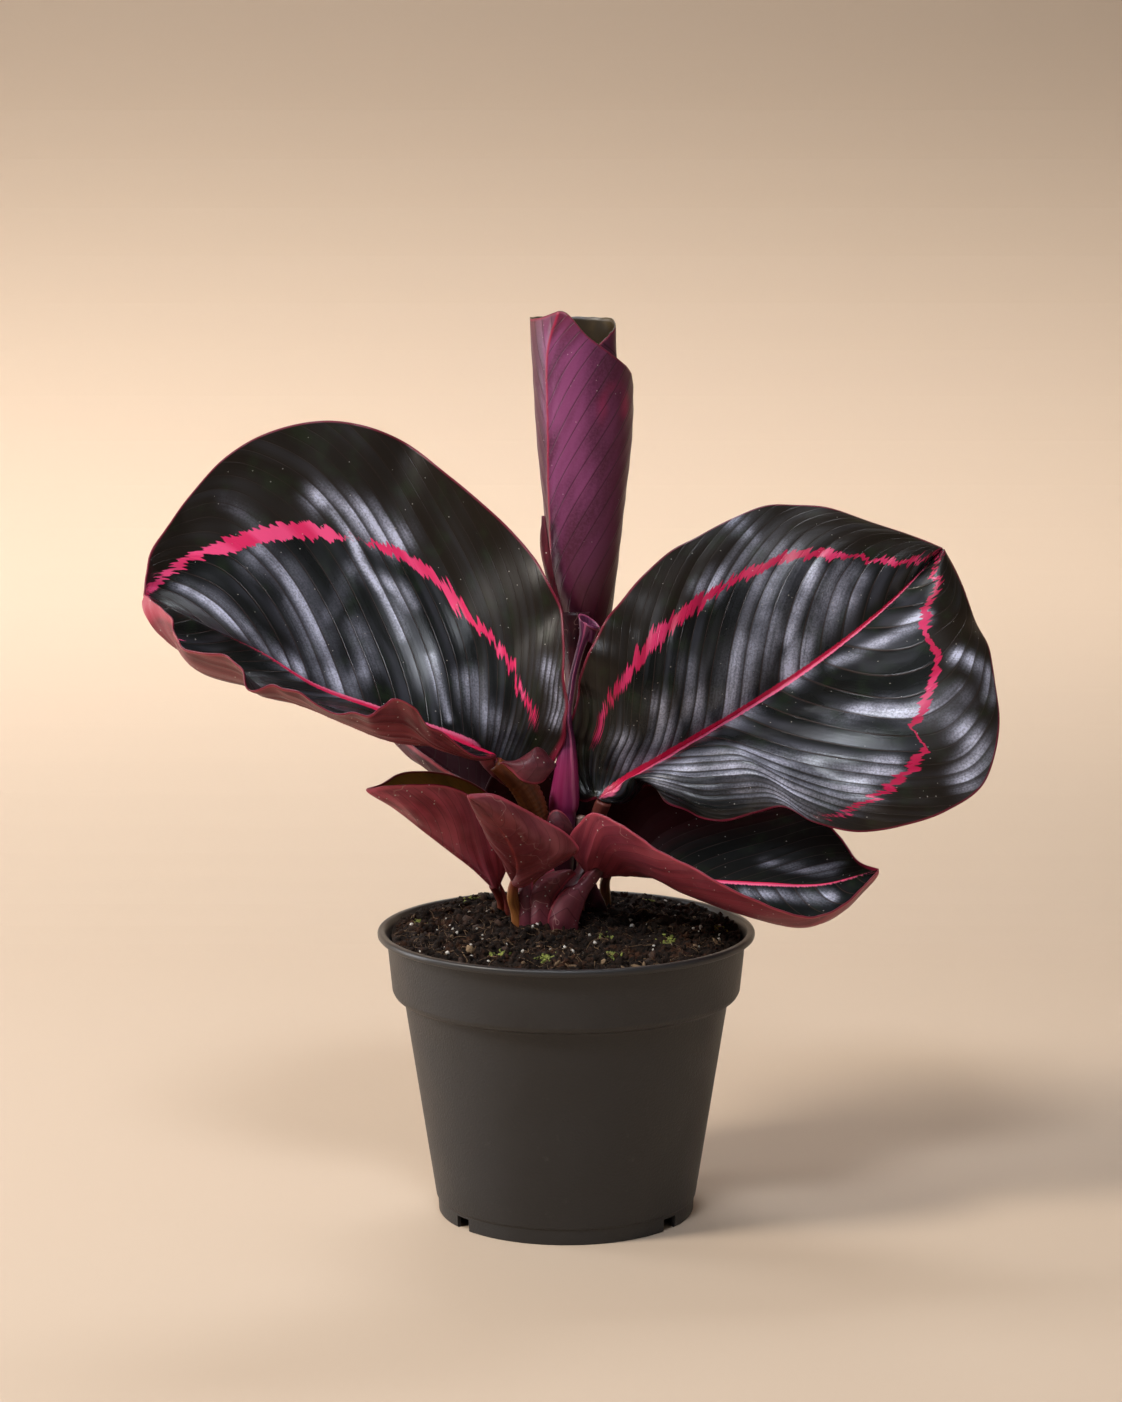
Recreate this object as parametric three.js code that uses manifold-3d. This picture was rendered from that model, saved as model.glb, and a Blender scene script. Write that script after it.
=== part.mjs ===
// A potted calathea: a tapered plastic nursery pot, a heap of peat, and one young plant whose leaves
// stand on stalks of their own. Millimetres, +Z up, -Y is the front. The tables below count from the pot's
// axis at its foot; the finished part is moved sideways so that its origin is under the middle of its width.
import * as THREE from 'three';
import { mergeVertices } from 'three/addons/utils/BufferGeometryUtils.js';
import Module from 'manifold-3d';

const wasm = await Module();
wasm.setup();

// Driving dimensions
const fit = 0.3;                // clearance between pieces that touch
const rimRadius = 60;           // a 12 cm nursery pot, measured over its lip
const potHeight = 91.7;
const footRadius = 40.9;
const wall = 1.2;
const lipHeight = 2.2;
const lipWidth = 2.4;
const collarRadius = 57.1;      // just below the lip
const collarLowRadius = 55.4;   // at the collar's lower edge
const collarLow = 72.5;
const bodyTopRadius = 51.7;     // where the body meets the collar
const bodyTop = 69.6;
const footBand = 5;             // height of the inset band at the foot
const footStep = 0.5;
const floorUnder = 3.5;
const floorTop = 5;
const potSides = 64;
const notch = { width: 6, height: 4, angles: [37.5, 142.5, 217.5, 322.5] };
const drain = { radius: 3, ring: 27, count: 8 };
const soilEdge = 90;            // height of the peat at the front of the rim
const soilHeap = 4.5;           // how much higher it stands round the plant
const soilTilt = 1.2;           // and how much higher it lies at the back
const soilLump = 0.8;
const rooting = 80;             // height of the stalks' feet, in holes in the peat
const bladeThick = 0.8;
const ribClear = 9;             // half width of a blade from which its midrib has its full depth
const stalkSides = 10;
const sideways = -3.5;          // from the pot's axis to the middle of the part's width
const smoothing = 2;            // passes that even out a sheet's normals before its thickness is laid off

// One leaf blade: base and tip of its chord, the way its top face looks, and how far the midrib leaves
// the chord (towards the left half, up) at even steps. Each half has its margin from base to tip as
// [along, out to the left, up] and its cup, the hollow between midrib and margin at even steps.
// sweep is how far the side veins lean towards the tip. ribDepth is the midrib's height below the blade.
// ends are the places along it where the blade starts and stops.
const leaves = {
  left_leaf: {
    base: [-22, -4, 148], tip: [-129, -24, 201], faces: [0, -0.36, 0.93],
    rib: [[0, -1], [0, -2.6], [0, -4.3], [0, -1.4], [2, 0]], sweep: 1.45, ribDepth: 2.4,
    left: {
      cup: [0, -8, -3, -10, -18],
      margin: [[8.6, 13.8, 4.7], [27.4, 26.7, 14.4], [40.3, 32.7, 21.4], [47.6, 38.8, 18.2],
        [58.1, 41.4, 14.4], [72.7, 40.1, 11.8], [84.2, 37.1, 9], [94.5, 30.2, 8.5], [106.4, 23.6, 2],
        [112.4, 14.1, 3.6], [118.5, 4, 1.5]],
    },
    right: {
      cup: [-11, -8],
      margin: [[-16, -5, -7], [-19, -6, 1], [-16, -4, 14], [-11, -9, 27], [-3, -20, 40], [8, -32, 48],
        [25, -47, 52], [46, -58, 54], [67, -65, 55], [86, -67, 50], [102, -61, 41], [113, -52, 29],
        [120, -36, 14], [123, -17, 4]],
    },
    rows: 24, columns: 7, ends: [0.085, 0.975], color: 0x1d1a1c,
  },
  right_leaf: {
    base: [10, 2, 133], tip: [123, 40, 209], faces: [-0.07, -0.84, 0.53],
    rib: [[-2, -1], [-4, -2], [-5, -3], [-4, -2]], sweep: 1.4, ribDepth: 2.4,
    left: {
      cup: [5, 7],
      margin: [[-4, 5, -5], [-3, 15, -4], [1, 21, 3], [9, 24, 12], [16, 29, 20], [26, 34, 25],
        [40, 40, 25], [62, 47, 19], [84, 48, 13], [106, 43, 9], [122, 29, 6], [133, 13, 3]],
    },
    right: {
      cup: [8, 9],
      margin: [[9, -3, -8], [16, -6, -1], [16, -15, 4], [19, -25, 7], [24, -33, 8], [34, -38, 9],
        [42, -42, 10], [47, -51, 7], [57, -62, 5], [69, -69, 6], [83, -73, 5], [99, -72, 3],
        [116, -58, 2], [129, -38, -1], [135, -24, -4], [139, -11, -2]],
    },
    rows: 26, columns: 7, ends: [0.05, 0.975], color: 0x1d1a1c,
  },
  lower_left_leaf: {
    base: [-22, 8, 103], tip: [-62, -15, 139], faces: [0.51, 0, 0.86],
    rib: [[0, 1], [0, 1], [0, 1], [0, 1]], sweep: 1.2, ribDepth: 1,
    left: {
      cup: [-3, -3],
      margin: [[8, 9, 8], [16, 12, 12], [26, 12, 16], [35, 12, 19], [44, 11, 17], [52, 9, 11], [57, 5, 5]],
    },
    right: {
      cup: [-3, -3],
      margin: [[1, -6, 12], [7, -10, 19], [17, -12, 21], [28, -12, 20], [38, -12, 16], [48, -9, 10],
        [54, -3, 4]],
    },
    rows: 12, columns: 4, ends: [0.05, 0.975], color: 0x6b2436,
  },
  lower_centre_leaf: {
    base: [-16, -8, 108], tip: [-30, -30, 140], faces: [0.21, 0.88, 0.42],
    rib: [[4, -1], [6, -2], [6, -2], [4, -1]], sweep: 1.1, ribDepth: 1,
    left: {
      cup: [-3, -3],
      margin: [[0, 3, -2], [3, 11, 0], [5, 18, 2], [7, 23, 4], [14, 21, 5], [23, 16, 4], [32, 12, 2],
        [39, 7, 1]],
    },
    right: {
      cup: [-2, -2],
      margin: [[4, -1, 1], [11, -1, 2], [19, -2, 2], [27, -2, 2], [36, -1, 1]],
    },
    rows: 12, columns: 4, ends: [0.14, 0.94], color: 0x7a2a3a,
  },
  lower_right_leaf: {
    base: [12, 6, 110], tip: [98, -12, 113], faces: [0, -0.15, 0.99],
    rib: [[0, -2], [0, -4], [0, -5], [0, -5]], sweep: 1.3, ribDepth: 1.6,
    left: {
      cup: [-6, -6],
      margin: [[0, 8, 1], [-2, 15, 6], [-2, 22, 13], [4, 29, 18], [14, 35, 16], [30, 41, 12],
        [50, 43, 8], [64, 36, 6], [73, 25, 2], [80, 11, -1]],
    },
    right: {
      cup: [-9, -9],
      margin: [[-6, -11, 7], [-7, -15, 15], [-3, -18, 21], [3, -22, 26], [13, -28, 24], [24, -33, 18],
        [36, -36, 13], [48, -38, 7], [62, -37, 0], [71, -32, -4], [79, -21, -4], [84, -10, -2]],
    },
    rows: 18, columns: 5, ends: [0.04, 0.975], color: 0x4a1d2a,
  },
  back_leaf: {
    base: [-25, 24, 130], tip: [-72, 60, 166], faces: [0.46, 0.2, 0.87],
    rib: [[0, -2], [0, -3], [0, -3], [0, -2]], sweep: 1.2, ribDepth: 1,
    left: {
      cup: [-4, -4],
      margin: [[4, 8, 0], [12, 9, -2], [21, 9, -3], [32, 7, -4], [47, 5, -4], [61, 2, -3]],
    },
    right: {
      cup: [-4, -4],
      margin: [[6, -8, 7], [14, -11, 14], [28, -12, 17], [41, -11, 17], [56, -7, 14], [66, -2, 7]],
    },
    rows: 12, columns: 4, ends: [0.05, 0.95], color: 0x3c1626,
  },
  centre_bract: {
    base: [-5, 0.5, 90], tip: [-4.5, 1.8, 110], faces: [0, 0.98, 0.2],
    rib: [[0, 0], [0, 0]], sweep: 1, ribDepth: 0.4,
    left: { cup: [-0.5, -0.5], margin: [[3, 4, 0.3], [8, 6, 0.8], [12, 4.8, 1.2], [16, 3, 1]] },
    right: { cup: [-0.5, -0.5], margin: [[3, -2.5, 0], [8, -4, 0], [13, -4.5, -0.3], [18, -3, 0]] },
    rows: 7, columns: 2, ends: [0.12, 0.94], color: 0x4a1726,
  },
  left_bract: {
    base: [-13.5, 1, 90], tip: [-14.5, 2, 107], faces: [0, 0.98, 0.2],
    rib: [[0, 0], [0, 0]], sweep: 1, ribDepth: 0.4,
    left: { cup: [-0.5, -0.5], margin: [[4, 2.3, 0], [9, 2.5, 0.3], [13, 2, 0]] },
    right: { cup: [-0.5, -0.5], margin: [[5, -2, 0], [9, -2, -0.5], [13, -1, -0.5]] },
    rows: 6, columns: 2, ends: [0.16, 0.9], color: 0x5c1c2c,
  },
};

// The stalks: a path of points from the foot in the peat, and the half width and half depth there.
const stalks = {
  left_stalk: {
    path: [[-9.5, 6, rooting], [-9.5, 5, 105], [-9.5, 3, 121], [-10, 2, 129], [-14, -1, 138], [-22, -5, 145]],
    radii: [[2.6, 2.6], [2.6, 2.6], [3, 3], [4.1, 4.1], [4, 4], [2.6, 2.6]],
    color: 0x6b4a2c,
  },
  right_stalk: {
    path: [[-1.5, -5, rooting], [-1, -5, 94], [0.5, -3.5, 99], [3.5, 0.5, 105], [6.5, 5, 112],
      [8.5, 6.5, 122], [12, 3.5, 132]],
    radii: [[4.6, 2.4], [4.8, 2.4], [4.6, 2.4], [3.6, 2.4], [2.3, 2.3], [2.3, 2.3], [2.6, 2.6]],
    color: 0x5a2030,
  },
  lower_left_stalk: {
    path: [[-20.5, 17, rooting], [-20.5, 16, 95], [-21.5, 11, 100], [-23.5, 6.5, 104]],
    radii: [[1.8, 1.8], [1.7, 1.7], [1.6, 1.6], [1.4, 1.4]],
    color: 0x8a4030,
  },
  lower_centre_stalk: {
    path: [[-15, -3, rooting], [-15.5, -3, 96], [-17, -5.5, 103], [-16, -9, 110]],
    radii: [[2, 2], [2, 2], [1.8, 1.8], [1.4, 1.4]],
    color: 0x9a5a34,
  },
  lower_right_stalk: {
    path: [[13, 22, rooting], [13, 21, 95], [12.5, 14, 103], [13.5, 5, 108.5]],
    radii: [[1.8, 1.8], [1.7, 1.7], [1.6, 1.6], [1.4, 1.4]],
    color: 0x7a5a34,
  },
  back_stalk: {
    path: [[-8, 18, rooting], [-9, 20, 97], [-13, 23, 112], [-20, 23, 125], [-28, 26, 131]],
    radii: [[1.8, 1.8], [1.8, 1.8], [1.7, 1.7], [1.6, 1.6], [1.2, 1.2]],
    color: 0x5a2838,
  },
  cut_stub: {
    path: [[4.5, 11, rooting], [4.5, 11, 100], [4.5, 10, 112], [4.5, 6.5, 126.5]],
    radii: [[1.5, 1.5], [1.4, 1.4], [1.3, 1.3], [1.3, 1.3]],
    color: 0xc8a090,
  },
  spear_leaf: {
    path: [[-1.5, 8, rooting], [-1.5, 8, 100], [-1.2, 7, 115], [-1.2, 6, 127], [-1, 5, 134], [-0.7, 4, 140],
      [0.1, 4, 149], [-0.8, 6.1, 157], [1.3, 8.6, 165], [4.4, 9.5, 174], [6.6, 10, 183], [7.4, 10, 189]],
    radii: [[3, 3], [3.2, 3.2], [4, 4], [4.6, 4.4], [4.2, 4], [3.2, 3.2], [2.4, 2.2], [1.2, 1.2], [1.4, 1.4],
      [1.9, 1.9], [3, 2.6], [4.5, 3.6]],
    color: 0x7a2450,
  },
};
const spearCup = { depth: 7, mouth: 0.75 };   // the open end of the young rolled leaf

// The rolled leaf: heights with the roll's outer radius and the place of its axis, the radius share and
// the inward shift of the axis as the blade winds in, and the height of its top edge round the roll.
// Angles are in degrees from the right side, round the front, and on past the back.
const roll = {
  heights: [146, 162, 181, 190, 206, 232, 267, 290],
  radius: [2.2, 3, 6.5, 9.2, 12.2, 14.5, 16.3, 16.8],
  axisX: [3.5, 5, 6, 6.2, 6, 6.2, 5, 4.4],
  axisY: [20, 21.5, 23, 24, 25, 26, 27, 28],
  winding: { angle: [-70, 0, 200, 330, 440], share: [1, 1, 0.97, 0.42, 0.34], shift: [0, 0, 0, 0.3, 0.3] },
  edge: {
    angle: [-70, -30, 0, 30, 60, 80, 100, 112, 130, 180, 320, 400, 440],
    height: [236, 252, 265, 272, 277.5, 281, 284.8, 287, 285.5, 284, 283.5, 279, 276],
  },
  foot: 158, turns: 44, rows: 9, thick: 0.8,
  stalk: {
    path: [[1.5, 16, rooting], [2, 17.5, 110], [3, 19.5, 140], [4.5, 21.3, 160]],
    radii: [[2.2, 2.2], [2.2, 2.2], [2.2, 2.2], [2.6, 2.6]],
  },
  color: 0x6a2850,
};

// Piecewise linear value of a table at x
function between(xs, ys, x) {
  let i = 0;
  while (i < xs.length - 2 && x > xs[i + 1]) i += 1;
  const share = THREE.MathUtils.clamp((x - xs[i]) / (xs[i + 1] - xs[i]), 0, 1);
  return ys[i] + (ys[i + 1] - ys[i]) * share;
}

// Uniform Catmull-Rom curve through rows of numbers, its ends reflected, at u from 0 to 1
function through(points, u) {
  const last = points.length - 1;
  const x = THREE.MathUtils.clamp(u, 0, 1) * last;
  const i = Math.min(Math.floor(x), last - 1);
  const w = x - i;
  const p1 = points[i];
  const p2 = points[i + 1];
  const p0 = i > 0 ? points[i - 1] : p1.map((v, k) => 2 * v - p2[k]);
  const p3 = i < last - 1 ? points[i + 2] : p2.map((v, k) => 2 * v - p1[k]);
  return p1.map((v, k) => 0.5 * (2 * v + (p2[k] - p0[k]) * w
    + (2 * p0[k] - 5 * v + 4 * p2[k] - p3[k]) * w * w
    + (3 * v - p0[k] - 3 * p2[k] + p3[k]) * w * w * w));
}

function meshOf(vertices, triangles) {
  const geometry = new THREE.BufferGeometry();
  geometry.setAttribute('position', new THREE.Float32BufferAttribute(vertices.flat(), 3));
  geometry.setIndex(triangles.flat());
  return geometry;
}

function toSolid(geometry) {
  const bare = geometry.clone();
  bare.deleteAttribute('normal');
  bare.deleteAttribute('uv');
  const merged = mergeVertices(bare, 1e-4);
  return new wasm.Manifold(new wasm.Mesh({
    numProp: 3,
    vertProperties: new Float32Array(merged.attributes.position.array),
    triVerts: new Uint32Array(merged.index.array),
  }));
}

function toGeometry(solid) {
  const mesh = solid.getMesh();
  const geometry = new THREE.BufferGeometry();
  geometry.setAttribute('position', new THREE.Float32BufferAttribute(mesh.vertProperties, 3));
  geometry.setIndex(Array.from(mesh.triVerts));
  return geometry;
}

// The largest body of a solid, without the scraps that a cut leaves
function mainBody(solid) {
  return solid.decompose().reduce((best, piece) => (piece.volume() > best.volume() ? piece : best));
}

// Point of a leaf at t along it and s across it, -1 at the right margin and 1 at the left: a straight
// line from midrib to margin plus the half's cup, square to that line
function leafFrame(leaf) {
  const base = new THREE.Vector3(...leaf.base);
  const along = new THREE.Vector3(...leaf.tip).sub(base);
  const length = along.length();
  along.normalize();
  const up = new THREE.Vector3(...leaf.faces);
  up.addScaledVector(along, -up.dot(along)).normalize();
  const left = new THREE.Vector3().crossVectors(up, along);
  return { base, along, left, up, length };
}

function leafPoint(leaf, frame, t, s) {
  const side = s < 0 ? leaf.right : leaf.left;
  const outward = s < 0 ? -1 : 1;
  const share = Math.abs(s);
  const reach = t ** leaf.sweep;
  const [ribLeft, ribUp] = through([[0, 0], ...leaf.rib, [0, 0]], reach);
  const rib = [frame.length * reach, ribLeft, ribUp];
  const margin = through([[0, 0, 0], ...side.margin, [frame.length, 0, 0]], t);
  const across = margin[1] - ribLeft;
  const rise = margin[2] - ribUp;
  const span = Math.hypot(across, rise) + 1e-9;
  const [depth] = through(side.cup.map((value) => [value]), t);
  const cup = depth * 4 * share * (1 - share) * Math.sqrt(Math.sin(Math.PI * t));
  const local = rib.map((v, k) => v + (margin[k] - v) * share);
  local[1] -= outward * cup * rise / span;
  local[2] += outward * cup * across / span;
  return {
    point: frame.base.clone().addScaledVector(frame.along, local[0])
      .addScaledVector(frame.left, local[1]).addScaledVector(frame.up, local[2]),
    span,
  };
}

// A closed sheet from a grid of points: the points are its top face, its under face lies below them
// by the depth at each point, and both are split into the same triangles
function sheet(grid, depth) {
  const rows = grid.length - 1;
  const columns = grid[0].length - 1;
  const at = (i, j) => i * (columns + 1) + j;
  let normals = grid.flatMap((row, i) => row.map((point, j) => {
    const forward = grid[Math.min(i + 1, rows)][j].clone().sub(grid[Math.max(i - 1, 0)][j]);
    const leftward = row[Math.min(j + 1, columns)].clone().sub(row[Math.max(j - 1, 0)]);
    return forward.cross(leftward).normalize();
  }));
  for (let pass = 0; pass < smoothing; pass += 1) {
    normals = normals.map((normal, k) => {
      const i = Math.floor(k / (columns + 1));
      const j = k % (columns + 1);
      return normal.clone().add(normals[at(Math.max(i - 1, 0), j)]).add(normals[at(Math.min(i + 1, rows), j)])
        .add(normals[at(i, Math.max(j - 1, 0))]).add(normals[at(i, Math.min(j + 1, columns))]).normalize();
    });
  }
  const top = grid.flatMap((row) => row.map((point) => point.toArray()));
  const under = grid.flatMap((row, i) => row.map((point, j) => (
    point.clone().addScaledVector(normals[at(i, j)], -depth(i, j)).toArray())));
  const count = top.length;
  const triangles = [];
  for (let i = 0; i < rows; i += 1) {
    for (let j = 0; j < columns; j += 1) {
      const a = at(i, j);
      const b = at(i, j + 1);
      const c = at(i + 1, j + 1);
      const d = at(i + 1, j);
      triangles.push([a, d, c], [a, c, b]);
      triangles.push([a + count, c + count, d + count], [a + count, b + count, c + count]);
    }
  }
  const rim = [];
  for (let j = 0; j < columns; j += 1) rim.push(at(0, j));
  for (let i = 0; i < rows; i += 1) rim.push(at(i, columns));
  for (let j = columns; j > 0; j -= 1) rim.push(at(rows, j));
  for (let i = rows; i > 0; i -= 1) rim.push(at(i, 0));
  rim.forEach((a, k) => {
    const b = rim[(k + 1) % rim.length];
    triangles.push([a, b, b + count], [a, b + count, a + count]);
  });
  return meshOf([...top, ...under], triangles);
}

// A leaf blade with the ridge of its midrib on the under face
function blade(leaf) {
  const frame = leafFrame(leaf);
  const ribHalf = 0.6 + leaf.ribDepth * 0.9;
  const [start, end] = leaf.ends;
  const grid = [];
  const shares = [];
  for (let i = 0; i <= leaf.rows; i += 1) {
    const t = start + (end - start) * (i / leaf.rows);
    const row = [];
    const rowShares = [];
    for (let j = -leaf.columns; j <= leaf.columns; j += 1) {
      const spanHere = leafPoint(leaf, frame, t, j < 0 ? -1 : 1).span;
      const ribShare = Math.min(0.4, ribHalf * (1 - 0.6 * t) / spanHere);
      const step = Math.abs(j);
      const outer = (step - 1) / (leaf.columns - 1);
      const share = step < 2 ? step * ribShare : ribShare + (1 - ribShare) * outer;
      row.push(leafPoint(leaf, frame, t, Math.sign(j) * share).point);
      rowShares.push(step === 0 ? leaf.ribDepth * (1 - 0.75 * t) * Math.min(1, spanHere / ribClear) : 0);
    }
    grid.push(row);
    shares.push(rowShares);
  }
  return sheet(grid, (i, j) => bladeThick + shares[i][j]);
}

// A solid cut back from a blade with a clearance: the blade is taken away moved to each place given as
// [along the leaf, along its up direction], in clearances
function clearOf(solid, leaf, places) {
  const { along, up } = leafFrame(leaf);
  return places.reduce((rest, [forward, upward]) => {
    const shift = along.clone().multiplyScalar(forward * fit).addScaledVector(up, upward * fit);
    return rest.subtract(toSolid(blade(leaf).translate(shift.x, shift.y, shift.z)));
  }, solid);
}

// A tapered stalk swept along a smooth path, its sections square to the path
function stem(stalk, grow = 0, hollow = null) {
  const points = stalk.path.map((p) => new THREE.Vector3(...p));
  const curve = new THREE.CatmullRomCurve3(points, false, 'centripetal');
  const steps = (stalk.path.length - 1) * 2;
  const rings = [];
  for (let i = 0; i <= steps; i += 1) {
    const u = i / steps;
    const centre = curve.getPoint(u);
    const tangent = curve.getTangent(u);
    const side = new THREE.Vector3(1, 0, 0).addScaledVector(tangent, -tangent.x).normalize();
    const back = new THREE.Vector3().crossVectors(tangent, side);
    if (i === 0) centre.addScaledVector(tangent, -grow);
    if (i === steps) centre.addScaledVector(tangent, grow);
    const [width, depth] = through(stalk.radii, u);
    rings.push({ centre, side, back, width: width + grow, depth: depth + grow });
  }
  const section = (ring, share, lower) => {
    const corners = [];
    for (let k = 0; k < stalkSides; k += 1) {
      const angle = (k / stalkSides) * 2 * Math.PI;
      corners.push(ring.centre.clone().addScaledVector(ring.side, Math.cos(angle) * ring.width * share)
        .addScaledVector(ring.back, Math.sin(angle) * ring.depth * share)
        .add(new THREE.Vector3(0, 0, -lower)).toArray());
    }
    return corners;
  };
  const vertices = rings.flatMap((ring) => section(ring, 1, 0));
  let count = rings.length;
  const mouth = rings[steps];
  if (hollow) {
    vertices.push(...section(mouth, hollow.mouth, 0), ...section(mouth, hollow.mouth * 0.3, hollow.depth));
    count += 2;
  }
  const triangles = [];
  for (let i = 0; i < count - 1; i += 1) {
    for (let k = 0; k < stalkSides; k += 1) {
      const next = (k + 1) % stalkSides;
      const a = i * stalkSides + k;
      const b = i * stalkSides + next;
      triangles.push([a, b, b + stalkSides], [a, b + stalkSides, a + stalkSides]);
    }
  }
  const foot = vertices.push(rings[0].centre.toArray()) - 1;
  const end = mouth.centre.clone().add(new THREE.Vector3(0, 0, hollow ? -hollow.depth : 0));
  const head = vertices.push(end.toArray()) - 1;
  const first = (count - 1) * stalkSides;
  for (let k = 0; k < stalkSides; k += 1) {
    const next = (k + 1) % stalkSides;
    triangles.push([foot, next, k], [head, first + k, first + next]);
  }
  return meshOf(vertices, triangles);
}

// The rolled leaf: one blade wound round an axis that widens upwards, and its stalk in the lower end
function rolledLeaf() {
  const grid = [];
  const { winding, edge } = roll;
  const first = winding.angle[0];
  const last = winding.angle[winding.angle.length - 1];
  for (let j = 0; j <= roll.rows; j += 1) {
    const row = [];
    for (let i = 0; i <= roll.turns; i += 1) {
      const angle = first + (last - first) * (i / roll.turns);
      const height = roll.foot + (between(edge.angle, edge.height, angle) - roll.foot) * (j / roll.rows);
      const radius = between(roll.heights, roll.radius, height);
      const share = between(winding.angle, winding.share, angle);
      const shift = between(winding.angle, winding.shift, angle);
      const radians = THREE.MathUtils.degToRad(angle);
      row.push(new THREE.Vector3(
        between(roll.heights, roll.axisX, height) + radius * (shift + share * Math.cos(radians)),
        between(roll.heights, roll.axisY, height) - radius * share * Math.sin(radians),
        height,
      ));
    }
    grid.push(row);
  }
  const wound = toSolid(sheet(grid, () => roll.thick));
  return mainBody(wound.add(toSolid(stem(roll.stalk))));
}

// The pot: one turned wall with a lip, a stepped collar and a raised floor, notched and drained
function pot() {
  const profile = [
    [0, floorUnder], [footRadius - wall - 0.1, floorUnder], [footRadius - wall, 0], [footRadius, 0],
    [footRadius + 0.3, footBand], [footRadius + 0.3 + footStep, footBand + 0.3],
    [bodyTopRadius, bodyTop], [bodyTopRadius + 0.7, bodyTop + 0.7], [collarLowRadius - 0.8, bodyTop + 1.4],
    [collarLowRadius, collarLow], [collarRadius, potHeight - lipHeight - 0.2],
    [rimRadius - 0.4, potHeight - lipHeight], [rimRadius, potHeight - lipHeight + 0.5],
    [rimRadius, potHeight - 0.6], [rimRadius - 0.5, potHeight],
    [rimRadius - lipWidth + 0.4, potHeight], [rimRadius - lipWidth, potHeight - 0.4],
    [collarRadius - wall, potHeight - lipHeight - 1], [collarLowRadius - wall, collarLow + 0.6],
    [bodyTopRadius - wall, bodyTop + 0.4], [footRadius - wall + 0.5, floorTop], [0, floorTop],
  ];
  const points = profile.map(([r, z]) => new THREE.Vector2(r, z));
  const turned = new THREE.LatheGeometry(points, potSides);
  turned.rotateX(Math.PI / 2);
  let body = toSolid(turned);
  for (const degrees of notch.angles) {
    const box = new THREE.BoxGeometry(12, notch.width, notch.height + 2);
    box.translate(footRadius, 0, notch.height / 2 - 1);
    box.rotateZ(THREE.MathUtils.degToRad(degrees));
    body = body.subtract(toSolid(box));
  }
  for (let k = 0; k < drain.count; k += 1) {
    const hole = new THREE.CylinderGeometry(drain.radius, drain.radius, 10, 12);
    hole.rotateX(Math.PI / 2);
    const angle = ((k + 0.5) / drain.count) * 2 * Math.PI;
    hole.translate(drain.ring * Math.cos(angle), drain.ring * Math.sin(angle), floorTop - 1);
    body = body.subtract(toSolid(hole));
  }
  return body;
}

// Height of the peat at a place: an edge level, a heap round the plant, a rise to the back, and lumps
function soilHeight(x, y) {
  const r2 = (x * x + y * y) / (rimRadius * rimRadius);
  const lumps = Math.sin(x * 0.41 + 1.3) * Math.cos(y * 0.37 - 0.6) + 0.5 * Math.sin(x * 0.83 - y * 0.71);
  return soilEdge + soilHeap * (1 - r2) + soilTilt * (y / rimRadius) + soilLump * lumps * (1 - 0.6 * r2);
}

// The peat: a lumpy top on a body that fills the pot to its wall
function soil() {
  const sides = 40;
  const topRings = [0.16, 0.32, 0.48, 0.64, 0.8, 0.92, 1];
  const inner = collarRadius - wall - fit;
  const wallRings = [
    [collarLowRadius - wall - fit, collarLow + 1.4], [bodyTopRadius - wall - fit, bodyTop + 0.6],
    [footRadius - wall + 0.5 - fit, floorTop + fit],
  ];
  const vertices = [[0, 0, soilHeight(0, 0)]];
  const ring = (radius, height) => {
    for (let k = 0; k < sides; k += 1) {
      const angle = (k / sides) * 2 * Math.PI;
      const x = radius * Math.cos(angle);
      const y = radius * Math.sin(angle);
      vertices.push([x, y, height ?? soilHeight(x, y)]);
    }
  };
  topRings.forEach((share) => ring((inner - 0.3) * share));
  wallRings.forEach(([radius, height]) => ring(radius, height));
  const bottom = vertices.push([0, 0, floorTop + fit]) - 1;
  const rings = topRings.length + wallRings.length;
  const triangles = [];
  for (let k = 0; k < sides; k += 1) {
    const next = (k + 1) % sides;
    triangles.push([0, 1 + k, 1 + next]);
    for (let i = 0; i < rings - 1; i += 1) {
      const a = 1 + i * sides + k;
      const b = 1 + i * sides + next;
      triangles.push([a, a + sides, b + sides], [a, b + sides, b]);
    }
    const low = 1 + (rings - 1) * sides;
    triangles.push([bottom, low + next, low + k]);
  }
  return toSolid(meshOf(vertices, triangles));
}

const plant = new THREE.Group();

function add(name, geometry, color, roughness) {
  geometry.translate(sideways, 0, 0);
  geometry.computeVertexNormals();
  const material = new THREE.MeshStandardMaterial({ color, roughness, metalness: 0 });
  const mesh = new THREE.Mesh(geometry, material);
  mesh.name = name;
  plant.add(mesh);
}

// Each stalk is trimmed where its leaf's blade lies on it, and the peat where a stalk stands in it
const bearers = {
  left_stalk: 'left_leaf',
  right_stalk: 'right_leaf',
  lower_left_stalk: 'lower_left_leaf',
  lower_centre_stalk: 'lower_centre_leaf',
  lower_right_stalk: 'lower_right_leaf',
  back_stalk: 'back_leaf',
};

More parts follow.
